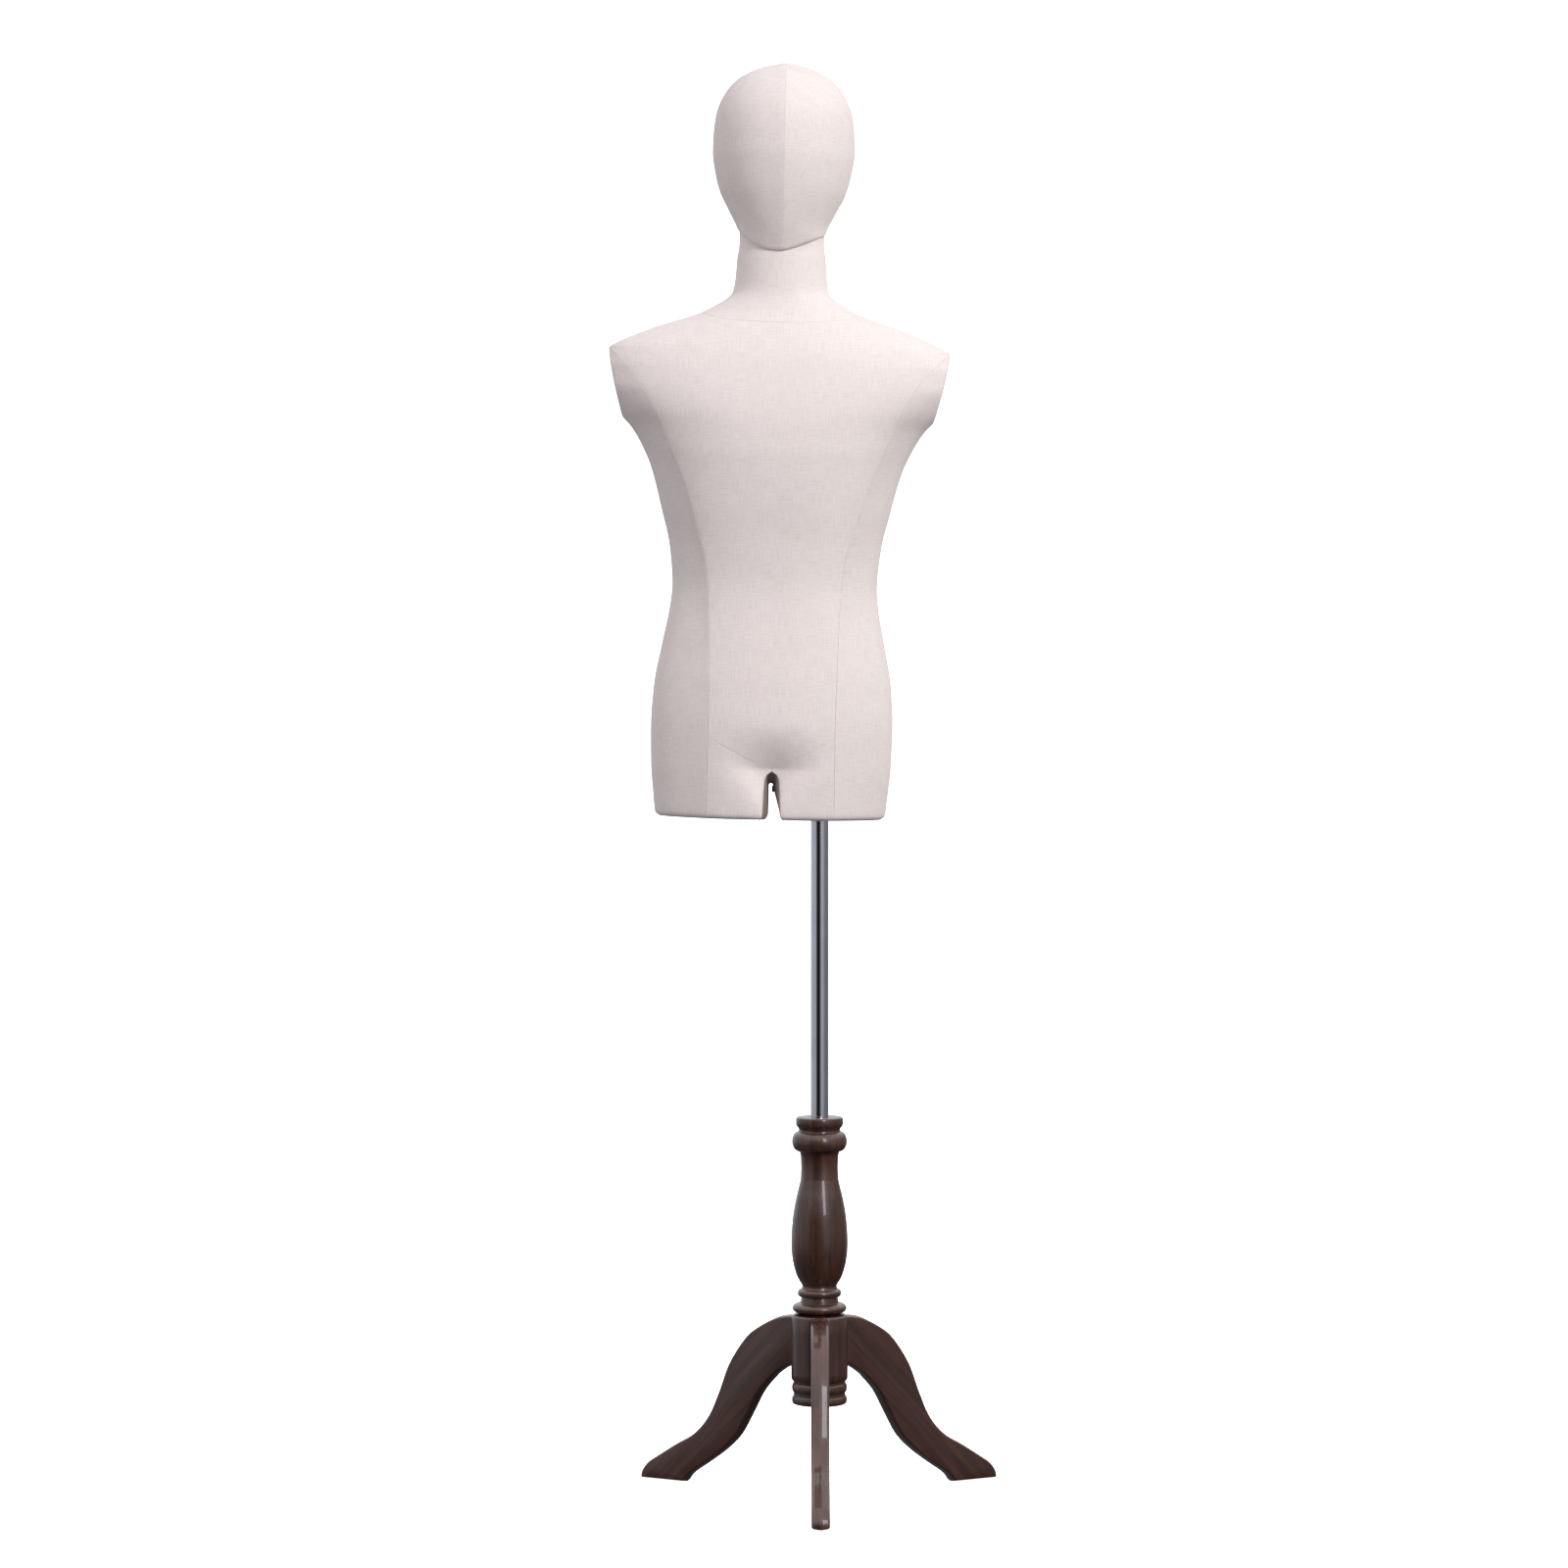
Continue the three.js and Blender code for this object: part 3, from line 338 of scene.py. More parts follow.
class Panel:
    """A cloth panel on a body. Its side edges are angles at each height, its ends are heights."""

    def __init__(
        self, body, edges, bottom, top, width, pitch=6.0, rows_pitch=5.0, dense=lambda t: t
    ):
        whole_turn = np.linspace(0, math.tau, 90)
        z_low = float(np.min(bottom(whole_turn))) - 2
        z_high = float(np.max(top(whole_turn))) + 2
        heights = np.arange(z_low, z_high + 1.0, 1.0)
        low, share, high = fractions(pitch, width)
        columns = len(low) + len(share) + len(high)
        angles = np.zeros((len(heights), columns))
        arc = np.zeros_like(angles)
        length_at = np.zeros(len(heights))
        first, last = (np.asarray(e, float) * np.ones_like(heights) for e in edges(heights))
        for j, z in enumerate(heights):
            fine = np.linspace(first[j], last[j], 260)
            flat = body.raw(fine, z)
            run = np.concatenate([[0], np.cumsum(np.linalg.norm(np.diff(flat, axis=0), axis=1))])
            length = run[-1]
            if length < 1e-3:  # at the crown, where the body comes to a point
                angles[j] = angles[j - 1]
                continue
            scale = min(1.0, length / (2.6 * EDGE_STEPS[-1]))
            near, far = np.array(low) * scale, length - (width - np.array(high)) * scale
            places = np.concatenate([near, near[-1] + (far[0] - near[-1]) * share, far])
            angles[j] = np.interp(places, run, fine)
            arc[j] = places - length / 2
            length_at[j] = length
        self.body = body
        read = lambda table, z: np.stack(
            [np.interp(z[:, i], heights, table[:, i]) for i in range(columns)], 1
        )
        start = read(angles, np.full((1, columns), (z_low + z_high) / 2))[0]
        z0, z1 = bottom(start), top(start)
        for _ in range(8):
            z0 = bottom(read(angles, z0[None])[0])
            z1 = top(read(angles, z1[None])[0])
        a0, a1 = read(angles, z0[None])[0], read(angles, z1[None])[0]
        slope = lambda a, z: np.linalg.norm(body.raw(a, z + 0.5) - body.raw(a, z - 0.5), axis=-1)
        k0, k1 = 1 / slope(a0, z0), 1 / slope(a1, z1)
        height = float(np.mean(z1 - z0))
        low, share, high = fractions(rows_pitch, height)
        rows = [z0 + s * k0 for s in low]
        begin, end = rows[-1], z1 - (height - high[0]) * k1
        rows += [begin + (end - begin) * t for t in dense(share)]
        rows += [z1 - (height - s) * k1 for s in high]
        self.z = np.array(rows)
        self.angle = read(angles, self.z)
        self.across = read(arc, self.z)
        half = np.interp(self.z, heights, length_at) / 2
        self.from_first = np.maximum(half + self.across, 0)
        self.from_last = np.maximum(half - self.across, 0)
        self.from_bottom = (self.z - z0) / k0
        self.from_top = (z1 - self.z) / k1
        self.rows, self.columns = self.z.shape

    def solid(self, name, seed, rounds, cuts=(), keel=0.0, top_seam=True, thickness=CLOTH):
        """The panel as one closed piece of cloth. rounds gives edges' radii, or their function of
        (angle, z); cuts are planes (point, normal) beyond which it ends; keel is how high it
        stands along its side seams."""
        rounds = {**dict.fromkeys(("first", "last", "bottom", "top"), SEAM_ROUND), **rounds}
        radius = {k: r(self.angle, self.z) if callable(r) else r for k, r in rounds.items()}
        surface = self.body.raw(self.angle, self.z)
        normal = self.body.normal(self.angle, self.z)
        edges = {"first": self.from_first, "last": self.from_last, "bottom": self.from_bottom}
        if top_seam:
            edges["top"] = self.from_top
        drop = np.maximum.reduce([edge_drop(d, radius[k]) for k, d in edges.items()])
        near = np.minimum.reduce(list(edges.values()))
        along = surface @ np.array([0.35, 0.2, 1.0])
        pucker = np.sin(along * math.tau / PUCKER + 2.2 * smooth_noise(surface, 60, seed))
        pucker = 0.1 * pucker * np.exp(-(((near - 3.0) / 3.4) ** 2))
        lift = 0.26 * smooth_noise(surface, 95, seed + 1)
        lift = (lift + 0.1 * smooth_noise(surface, 38, seed + 2)) * smoothstep(near, 1, 18) + pucker
        for point, direction in cuts:
            away = -(surface - np.array(point)) @ np.array(direction)
            lift = lift * smoothstep(away, 1, 14)
        lift = lift + keel * np.exp(-((np.minimum(self.from_first, self.from_last) / 9.0) ** 2))
        outer = surface + normal * (lift - drop)[..., None]
        inner = surface - normal * np.maximum(thickness, drop + 0.5)[..., None]
        uv = stack(self.across, self.z) * MM
        count = self.rows * self.columns
        faces = grid_faces(self.rows, self.columns)
        faces += grid_faces(self.rows, self.columns, count, flip=True)
        edge = self.rim()
        faces += [[a, b, b + count, a + count] for a, b in zip(edge, edge[1:] + edge[:1])]
        points = np.concatenate([outer.reshape(-1, 3), inner.reshape(-1, 3)])
        piece = outward(new_mesh(name, points, faces, np.concatenate([uv.reshape(-1, 2)] * 2)))
        for point, direction in cuts:
            trim(piece, point, direction)
        return piece

    def rim(self):
        rows, columns = self.rows, self.columns
        bottom = list(range(columns))
        right = [j * columns + columns - 1 for j in range(1, rows)]
        top = [(rows - 1) * columns + i for i in range(columns - 2, -1, -1)]
        left = [j * columns for j in range(rows - 2, 0, -1)]
        return bottom + right + top + left


def trim(piece, point, direction):
    """Cuts a closed piece at a plane in the form's frame, turns its new edge in and closes it."""
    spot = Vector(form_to_row(np.array([point]))[0])
    way = (form_turn @ Vector(direction)).normalized()
    floor = form_to_row(np.array([[0, 0, ARMHOLE_LOW_Z - 45]]))[0][2]
    work = bmesh.new()
    work.from_mesh(piece.data)

    def whole():
        high = [v for v in work.verts if v.co.z > floor]
        kept = set(high)
        joined = lambda parts: [part for part in parts if all(v in kept for v in part.verts)]
        return high + joined(work.edges) + joined(work.faces)

    for back in (*EDGE_STEPS[5:0:-1], 0):
        bmesh.ops.bisect_plane(work, geom=whole(), plane_co=spot - way * back * MM, plane_no=way,
                               dist=1e-7, clear_outer=back == 0)
    bmesh.ops.recalc_face_normals(work, faces=work.faces)
    work.normal_update()
    middle = form_to_row(np.array([[0, 0, point[2]]]))[0]
    moves = []
    for v in work.verts:
        away = (spot - v.co).dot(way) / MM
        out = Vector((0, v.co.y - POLE_Y, 0)) + Vector((0, 0, v.co.z - middle[2] + 0.04))
        if away < 4.4 and v.co.z > floor and v.normal.dot(out) > 0:
            face = v.normal - way * v.normal.dot(way)
            if face.length > 0.2:
                drop = float(edge_drop(np.float64(max(away, 0)), SEAM_ROUND))
                moves.append((v, face.normalized() * drop * MM))
    for v, move in moves:
        v.co -= move
    bmesh.ops.holes_fill(work, edges=[e for e in work.edges if e.is_boundary], sides=0)
    work.to_mesh(piece.data)
    work.free()


def store(piece, name, values, kind="FLOAT_VECTOR"):
    layer = piece.data.attributes.new(name, kind, "POINT")
    field = "vector" if kind == "FLOAT_VECTOR" else "value"
    layer.data.foreach_set(field, np.asarray(values, np.float32).ravel())


def ring_stack(name, loops, uv=None, close=True, in_row=False, marks=()):
    """A piece lofted through loops of points; close shuts its first and last, unless they meet.
    marks are values at its points, as store takes them."""
    loops = [np.asarray(loop, float) for loop in loops]
    columns = len(loops[0])
    points = np.concatenate(loops)
    faces = grid_faces(len(loops), columns, wrap=True)
    if close:
        faces.append(list(range(columns)))
        faces.append(list(range((len(loops) - 1) * columns, len(loops) * columns))[::-1])
    piece = new_mesh(name, points, faces, uv, in_row=in_row)
    for mark in marks:
        store(piece, *mark)
    return outward(piece)


def planar_uv(loops, a, b):
    return np.concatenate(loops)[:, [a, b]] * MM


def boolean_cut(piece, cutter):
    """Takes the cutter's space out of a piece and removes the cutter."""
    step = piece.modifiers.new("cut", "BOOLEAN")
    step.operation, step.solver, step.object = "DIFFERENCE", "EXACT", cutter
    graph = bpy.context.evaluated_depsgraph_get()
    done = bpy.data.meshes.new_from_object(piece.evaluated_get(graph))
    piece.modifiers.clear()
    piece.data = done
    bpy.data.objects.remove(cutter)


# ---------- the covered torso ----------
GAP = 0.03  # between two panels at a seam
FOOT_Z = FORM_FOOT_Z + 0.6
SIDE_TOP_Z = 1403.6  # the side panels end just under the shoulder's tip
GAP_ROUND = 3.2
ARMHOLE_INSET = 1.0  # of the panels' ends behind the armhole's face


def seam_step(z):
    return 1.6 * GAP / torso.curve.at(z, 0)


def armhole_plane(side, inset):
    c, s = math.cos(ARMHOLE_TILT), math.sin(ARMHOLE_TILT)
    point = (side * (SHOULDER_TIP[0] - inset * c), 0.0, SHOULDER_TIP[1] + inset * s)
    return point, (side * c, 0.0, -s)


def middle_x(z):
    """The centre back seam, which starts at the top of the gap between the thighs."""
    return CROTCH_X * (1 - smoothstep(z, CROTCH_TOP_Z + 5, 940))


def gap_round(angle, z):
    """Radius of a panel's edge along the gap, and along the centre back seam above it."""
    return GAP_ROUND - (GAP_ROUND - FLAT_ROUND) * smoothstep(z, CROTCH_TOP_Z - 4, CROTCH_TOP_Z + 6)


def front_seam(side, z, way):
    """A front princess seam's angle, a step off it toward the middle (1) or the flank (-1)."""
    seam = seam_angle(z) if side > 0 else math.pi - seam_angle(z)
    return seam + side * way * seam_step(z)


def back_seam(side, z, way, turn=0.0):
    seam = turn - seam_angle(z) if side > 0 else math.pi + seam_angle(z)
    return seam - side * way * seam_step(z)


def gap_angle(side, z, middle):
    return torso.angle_of(middle + side * half_gap(z) + side * GAP, z)


def stretch(knee, reach):
    """Spreads rows so that they stand closer beyond the knee, at the shoulder's strong curve."""
    return lambda t: np.where(
        t < knee, t * (reach / knee), reach + (t - knee) * ((1 - reach) / (1 - knee))
    )


level = lambda height: lambda angle: height + 0 * np.asarray(angle, float)
neck_edge = lambda angle: neck_seam_height(angle) - GAP
groin_edge = lambda angle: groin_height(angle) - GAP
shoulder_rows, flank_rows = stretch(0.74, 0.87), stretch(0.8, 0.86)


def make_panels():
    made = {}

    def sew(node, panel, seed, rounds, cuts=()):
        made[node] = panel.solid(f"{node}_cloth", seed, rounds, cuts)

    front = Panel(
        torso, lambda z: (front_seam(1, z, 1), front_seam(-1, z, 1)),
        lambda a: groin_height(a) + GAP, neck_edge, 330, dense=shoulder_rows,
    )
    both_ends = [armhole_plane(side, ARMHOLE_INSET) for side, _ in SIDES]
    sew("front_panel", front, 11, {"bottom": FLAT_ROUND, "top": 0.5}, both_ends)
    for side, word in SIDES:
        end = [armhole_plane(side, ARMHOLE_INSET)]
        first, last = ("first", "last")[::side]
        back_edges = lambda z: (
            math.tau - gap_angle(side, z, middle_x(z)), back_seam(side, z, 1, math.tau),
        )[::side]
        flank_edges = lambda z: (back_seam(side, z, -1), front_seam(side, z, -1))[::side]
        thigh_edges = lambda z: (front_seam(side, z, 1), gap_angle(side, z, CROTCH_X))[::side]
        back = Panel(torso, back_edges, level(FOOT_Z), neck_edge, 165, dense=shoulder_rows)
        sew(f"back_panel_{word}", back, 21 + side, {"bottom": END_ROUND, first: gap_round}, end)
        flank = Panel(torso, flank_edges, level(FOOT_Z), level(SIDE_TOP_Z), 150, dense=flank_rows)
        sew(f"side_panel_{word}", flank, 31 + side, {"bottom": END_ROUND}, end)
        thigh = Panel(torso, thigh_edges, level(FOOT_Z), groin_edge, 75, 4.0, 1.5)
        rounds = {"bottom": END_ROUND, "top": FLAT_ROUND, last: gap_round}
        sew(f"thigh_panel_{word}", thigh, 41 + side, rounds)
    neck = Panel(
        torso, lambda z: (-math.pi / 2 + 0.002 + 0 * z, 1.5 * math.pi - 0.002 + 0 * z),
        lambda a: neck_seam_height(a) + GAP, level(NECK_TOP_Z), 380, rows_pitch=3.0,
    )
    sew("neck_cover", neck, 51, {"bottom": 0.5})
    return made


def armhole_outline(side, inset):
    """The body's section at a plane parallel to an armhole end."""
    slope, depth = math.tan(ARMHOLE_TILT), inset / math.cos(ARMHOLE_TILT)
    face = lambda z: SHOULDER_TIP[0] + (z - SHOULDER_TIP[1]) * slope - depth
    heights = np.linspace(ARMHOLE_LOW_Z - 12, SHOULDER_TIP[1] + 4, 800)
    beyond = heights[torso.curve.at(heights, 0) > face(heights)]
    turn = np.linspace(0, math.pi, 44)
    z = beyond[0] + (beyond[-1] - beyond[0]) * (1 - np.cos(turn)) / 2
    angle = torso.angle_of(face(z), z)
    front, back = torso.raw(angle, z), torso.raw(-angle, z)
    front[:, 0], back[:, 0] = face(z), face(z)
    loop = np.concatenate([front, back[-2:0:-1]])
    loop[:, 0] *= side
    return loop


ARMHOLE_DOME = 1.9  # how far an armhole's end stands out in its middle, and how thick it is
ARMHOLE_RINGS = (0.06, 0.2, 0.36, 0.52, 0.66, 0.78, 0.87, 0.93, 0.96, 0.975, 0.985, 0.993, 0.998)


def make_armhole_cover(side, word):
    """An armhole's flat end, slightly domed and turned in at its rim."""
    rim = armhole_outline(side, 0.9)
    centre = (rim.max(0) + rim.min(0)) / 2
    way = np.array(armhole_plane(side, 0)[1])
    reach = np.linalg.norm(rim - centre, axis=1).mean()
    loops = []
    for share in ARMHOLE_RINGS:
        flat = centre + (rim - centre) * share
        lift = ARMHOLE_DOME * (1 - share**2) + 0.15 * smooth_noise(flat, 40, 61) * (1 - share)
        height = lift - edge_drop((1 - share) * reach, 1.3) + 0.55
        loops.append(flat + way * np.asarray(height)[..., None])
    loops += [centre + (rim - centre) * share - way * ARMHOLE_DOME for share in (0.998, 0.06)]
    return ring_stack(f"armhole_cover_{word}_cloth", loops, planar_uv(loops, 1, 2))


def thigh_loop(side, inset):
    """The outline of one thigh end, a given depth inside its cloth."""
    z = FORM_FOOT_Z + 4
    inner = CROTCH_X + side * (float(half_gap(FORM_FOOT_Z)) + inset * 0.55)
    angle = torso.angle_of(inner, z)
    first, last = (-angle, angle) if side > 0 else (angle, math.tau - angle)
    turn = np.linspace(float(first), float(last), 400)
    around = torso.raw(turn, z) - torso.normal(turn, z) * inset
    around[:, 0] = np.maximum(around[:, 0] * side, inner * side) * side
    chord = np.linspace(around[-1], around[0], 40)[1:-1]
    return np.concatenate([around, chord])


THIGH_TURNS = np.arange(120) / 120 * math.tau
THIGH_RIM = 4.3  # from a thigh's face to the rim of its end
THIGH_MIDDLE = (-68.0, 0.0)  # of the left one
POLE_HOLE_R = 13.0
THIGH_END_THICK = 2.6


def circle(centre, radius):
    x, y = centre[0] + radius * np.cos(THIGH_TURNS), centre[1] + radius * np.sin(THIGH_TURNS)
    return stack(x, y, 0.0)


def star_loop(outline, centre):
    """Points of an outline at even turns about a centre."""
    away = outline[:, :2] - centre[:2]
    turn = np.unwrap(np.arctan2(away[:, 1], away[:, 0]))
    if turn[-1] < turn[0]:
        turn, away = turn[::-1], away[::-1]
    reach = np.linalg.norm(away, axis=1)
    turn = np.mod(turn, math.tau)
    order = np.argsort(turn)
    return circle(centre, np.interp(THIGH_TURNS, turn[order], reach[order], period=math.tau))


def make_thigh_end(side, word):
    """A thigh's flat end. The pole goes through the right one."""
    has_hole = side > 0
    centre, hole = np.array(THIGH_MIDDLE), 3.0
    if has_hole:
        foot_z = float(form_to_row([[0, 0, FORM_FOOT_Z]])[0][2])
        centre, hole = row_to_form(np.array([[POLE_X, POLE_Y, foot_z]]))[0], POLE_HOLE_R
    inner, rim = circle(centre, hole), star_loop(thigh_loop(side, THIGH_RIM), centre)
    shares = (0.0, 0.01, 0.04, 0.12, 0.3, 0.5, 0.7, 0.85, 0.93, 0.965, 0.985, 1.0)
    rings = []
    for share in shares:
        depth = edge_drop((1 - share) * 60, 1.2)
        if has_hole:
            depth = max(depth, edge_drop(share * 60, 1.0))
        rings.append((share, FORM_FOOT_Z + 0.25 + depth))
    rings += [(share, FORM_FOOT_Z + THIGH_END_THICK) for share in (*shares[::-3], 0.0)]
    loops = []
    for share, z in rings:
        flat = inner + (rim - inner) * share
        flat[:, 2] = z
        loops.append(flat)
    if has_hole:
        loops.append(loops[0].copy())
    return ring_stack(f"thigh_end_{word}_cloth", loops, planar_uv(loops, 0, 1), close=not has_hole)


def arch_outline(sides_at, top_z):
    """The gap's outline at one depth, up one side, over the top and down the other: x and z."""
    corner = FOOT_Z + np.array([0, 1, 2, 3.2, 4.6, 6.2, 8.2])
    rise = np.concatenate([corner, np.linspace(846, top_z, 9)])
    arch = np.linspace(math.pi, 0, 15)[1:-1]
    left, right = sides_at(rise)
    middle, half = (left[-1] + right[-1]) / 2, (right[-1] - left[-1]) / 2
    over = stack(middle + half * np.cos(arch), top_z + half * np.sin(arch))
    return np.concatenate([stack(left, rise), over, stack(right, rise)[::-1]])


LINING_INSET = 3.0  # of its ends behind the body's face
LINING_THICK = 1.7
SCREW_HOLE_R = 5.6


def throat_sides(z):
    share = np.clip((THROAT_TOP_Z - z) / (THROAT_TOP_Z - FORM_FOOT_Z), 0, 1)
    return THROAT_LEFT - corner_flare(z), between(THROAT_RIGHT, share) + corner_flare(z)


def make_gap_lining():
    """The cloth arch through the gap between the thighs; it is narrowest inside and open below."""
    opening = arch_outline(lambda z: (CROTCH_X - half_gap(z), CROTCH_X + half_gap(z)), CROTCH_TOP_Z)
    throat = arch_outline(throat_sides, THROAT_TOP_Z)
    middle = np.array([CROTCH_X, CROTCH_TOP_Z])
    out = np.where(opening[:, 1:] > CROTCH_TOP_Z, (opening - middle) / CROTCH_HALF[0],
                   np.sign(opening[:, :1] - CROTCH_X) * [1.0, 0.0])
    angle = torso.angle_of(opening[:, 0], opening[:, 1])
    front = torso.raw(angle, opening[:, 1])[:, 1] + LINING_INSET
    back = torso.raw(-angle, opening[:, 1])[:, 1] - LINING_INSET
    near = np.array([0, 0.01, 0.022, 0.037, 0.055, 0.075, 0.1, 0.13, 0.17])
    steps = np.concatenate([near, np.linspace(0.22, 0.78, 14), 1 - near[::-1]])
    loops = []
    for share in steps:
        narrow = smoothstep(min(share, 1 - share), -0.02, 0.14)
        y = front + (back - front) * share
        face = opening + (throat - opening) * narrow
        sag = 0.25 * smooth_noise(stack(face[:, 0], y, face[:, 1]), 45, 71)
        face = face + out * sag[:, None]
        loops.append(stack(face[:, 0], y, face[:, 1]))
    face = opening + out * LINING_THICK
    for share in steps[::-1]:
        loops.append(stack(face[:, 0], front + (back - front) * share, face[:, 1]))
    loops.append(loops[0].copy())
    columns = len(opening)
    faces = grid_faces(len(loops), columns)
    half = len(steps)
    for k in range(half - 1):
        a, b = k * columns, (k + 1) * columns
        c, d = (2 * half - 2 - k) * columns, (2 * half - 1 - k) * columns
        faces.append([a, b, c, d])
        faces.append([a + columns - 1, d + columns - 1, c + columns - 1, b + columns - 1])
    uv = planar_uv(loops, 1, 2)
    piece = outward(new_mesh("gap_lining_cloth", np.concatenate(loops), faces, uv))
    low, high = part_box("clamp_screw")
    bpy.ops.mesh.primitive_cylinder_add(
        vertices=40, radius=SCREW_HOLE_R * MM, depth=0.02, rotation=(0, math.pi / 2, 0),
        location=(low.x + 0.008, (low.y + high.y) / 2, (low.z + high.z) / 2),
    )
    boolean_cut(piece, bpy.context.object)
    return piece


# ---------- the head ----------
HEM_MARKS = np.radians([0, 30, 60, 85, 108, 130, 152, 170, 195, 230, 270, 315])
HEM_HEIGHTS = np.array([1548, 1537.5, 1529, 1524, 1523, 1528, 1540, 1549, 1552, 1551, 1550, 1551])


def hem_height(angle):
    """The head cover's hem: lowest under the chin, highest at the nape."""
    turns = lambda a: stack(1.0, *(f(k * a) for k in (1, 2, 3) for f in (np.cos, np.sin)))
    weights = np.linalg.lstsq(turns(HEM_MARKS), HEM_HEIGHTS, rcond=None)[0]
    return turns(np.asarray(angle, float)) @ weights


def hem_round(angle, z):
    reach = np.linalg.norm(head.raw(angle, z)[..., :2], axis=-1)
    return np.clip(reach - NECK_R - 0.75, 0.5, 7.0)


def make_head_cover(side, word):
    middle = (1 - side) * math.pi / 2
    reach = math.pi / 2 - 0.0005
    cover = Panel(
        head, lambda z: (middle - reach + 0 * z, middle + reach + 0 * z), hem_height,
        level(HEAD_TOP_Z), 240, 5.0, 3.4, lambda t: 1 - (1 - t) ** 2,
    )
    rounds = {"first": 0.12, "last": 0.12, "bottom": hem_round}
    return cover.solid(
        f"head_cover_{word}_cloth", 81 + side, rounds, keel=1.5, top_seam=False, thickness=1.5
    )


cloth_pieces = make_panels()
for side, word in SIDES:
    cloth_pieces[f"armhole_cover_{word}"] = make_armhole_cover(side, word)
    cloth_pieces[f"thigh_end_{word}"] = make_thigh_end(side, word)
    cloth_pieces[f"head_cover_{word}"] = make_head_cover(side, word)
cloth_pieces["gap_lining"] = make_gap_lining()


# ---------- turned and sawn wood, in the pole's own frame ----------
LEG_ANGLES = {"front": -90, "left": 150, "right": 30}
LEG_HALF = 11.0
LEG_BACK_R = 33.2
LEG_FLAT_R = 32.9  # the hub's flats where the legs stand against it, above a height
LEG_FLAT_Z = 157.5
LEG_EDGE = 2.6
LEG_ROUND = 5.0  # how far the rounding of its edges reaches across it
TURNED_SHARP, SAWN_SHARP = math.radians(38), math.radians(50)
LEG_CROWN = (0.9, 0.35)  # how far it falls from its middle: at the rounding, and before it


def bead(root, crown, middle, half, steps=14):
    turns = np.linspace(-math.pi / 2, math.pi / 2, steps + 1)
    return [(root + (crown - root) * math.cos(t), middle + half * math.sin(t)) for t in turns]


def spline(points, steps):
    """Points along a smooth curve through the given ones."""
    p = np.array(points, float)
    made = []
    for i in range(len(p) - 1):
        a, b, c, d = p[max(i - 1, 0)], p[i], p[i + 1], p[min(i + 2, len(p) - 1)]
        for t in np.arange(steps) / steps:
            u, v = (c - a) / 2, (d - b) / 2
            bend2, bend3 = 3 * c - 3 * b - 2 * u - v, 2 * b - 2 * c + u + v
            made.append(bend3 * t**3 + bend2 * t**2 + u * t + b)
    made.append(p[-1])
    return [tuple(q) for q in made]


def bend(start, control, end, steps):
    t = (np.arange(steps) / steps)[:, None]
    a, b, c = (np.array(q, float) for q in (start, control, end))
    return [tuple(q) for q in (1 - t) ** 2 * a + 2 * t * (1 - t) * b + t**2 * c]


def turned(name, profile, segments=112, shape=lambda points: points, wear=lambda z: 0):
    """A turned piece about the pole's axis from a closed outline of (radius, height)."""
    outline = np.array(profile, float)
    turns = np.arange(segments) / segments * math.tau
    loops = []
    for r, z in outline:
        loops.append(shape(stack(r * np.cos(turns), r * np.sin(turns), z)))
    loops.append(loops[0].copy())
    rub = np.array([wear(z) for z in outline[:, 1]] + [0])
    piece = ring_stack(
        name, [loop * MM + [POLE_X, POLE_Y, 0] for loop in loops], close=False, in_row=True,
        marks=[("grain", np.concatenate(loops) * MM), ("wear", np.repeat(rub, segments), "FLOAT")],
    )
    piece.data.set_sharp_from_angle(angle=TURNED_SHARP)
    return piece


def rubbed(*crowns):
    """How worn a turned piece is at a height, from its crowns (middle, half height)."""
    return lambda z: max(math.exp(-(((z - m) / (0.55 * h)) ** 2)) for m, h in crowns)


def make_column():
    vase = spline([
        (21.5, 259), (28.2, 271), (33.4, 291), (34.8, 314), (32.8, 343), (29, 365), (25.6, 379),
        (23.2, 390),
    ], 7)
    profile = [
        (14, 214.5), (14, 222.3), (30.4, 222.3), (31, 222.9), *bead(23.6, 33.4, 230.5, 6.5),
        (23.1, 240), *bead(22.4, 26.9, 249, 5), (21.3, 256.5), *vase, (22.7, 404), (23.2, 418),
        (24.2, 422.5), *bead(26, 33.8, 436, 12, 18), (25.4, 450), (25.8, 452), (27, 453.5),
        (28.4, 455.2), (29, 457), (29.1, 463), (28.6, 464.8), (27.2, 465.8), (25, 466), (11.9, 466),
        (11.3, 465.4), (11.3, 258), (4.6, 258), (4.6, 214.5),
    ]
    wear = rubbed((230.5, 6.5), (249, 5), (436, 12), (460, 5))
    return turned("turned_column", profile, wear=wear)


def make_hub():
    profile = [
        (22, 112.6), (22.6, 112), (30.8, 112), (31.5, 112.5), *bead(32, 34, 117.5, 5, 10),
        (31.8, 125), *bead(32, 34, 132.5, 5.5, 10), (32.2, 140.5), (33.8, 142), (34.8, 144),
        (34.8, 150), (34.8, 157), (34.8, 158), (34.8, 176), (34.8, 200), (34.8, 218.6), (34.2, 221),
        (33, 222), (14.3, 222), (14.3, 213.7), (4.6, 213.7), (4.6, 200), (22, 200),
    ]

    def seat(points):
        for degrees in LEG_ANGLES.values():
            c, s = math.cos(math.radians(degrees)), math.sin(math.radians(degrees))
            along = points[:, 0] * c + points[:, 1] * s
            across = points[:, 1] * c - points[:, 0] * s
            flat = (np.abs(across) < LEG_HALF) & (along > LEG_FLAT_R) & (points[:, 2] > LEG_FLAT_Z)
            back = np.where(flat, along - LEG_FLAT_R, 0)
            points = points - stack(back * c, back * s, 0)
        return points

    return turned("turned_hub", profile, 192, seat, rubbed((117.5, 5), (132.5, 5.5), (220, 4)))


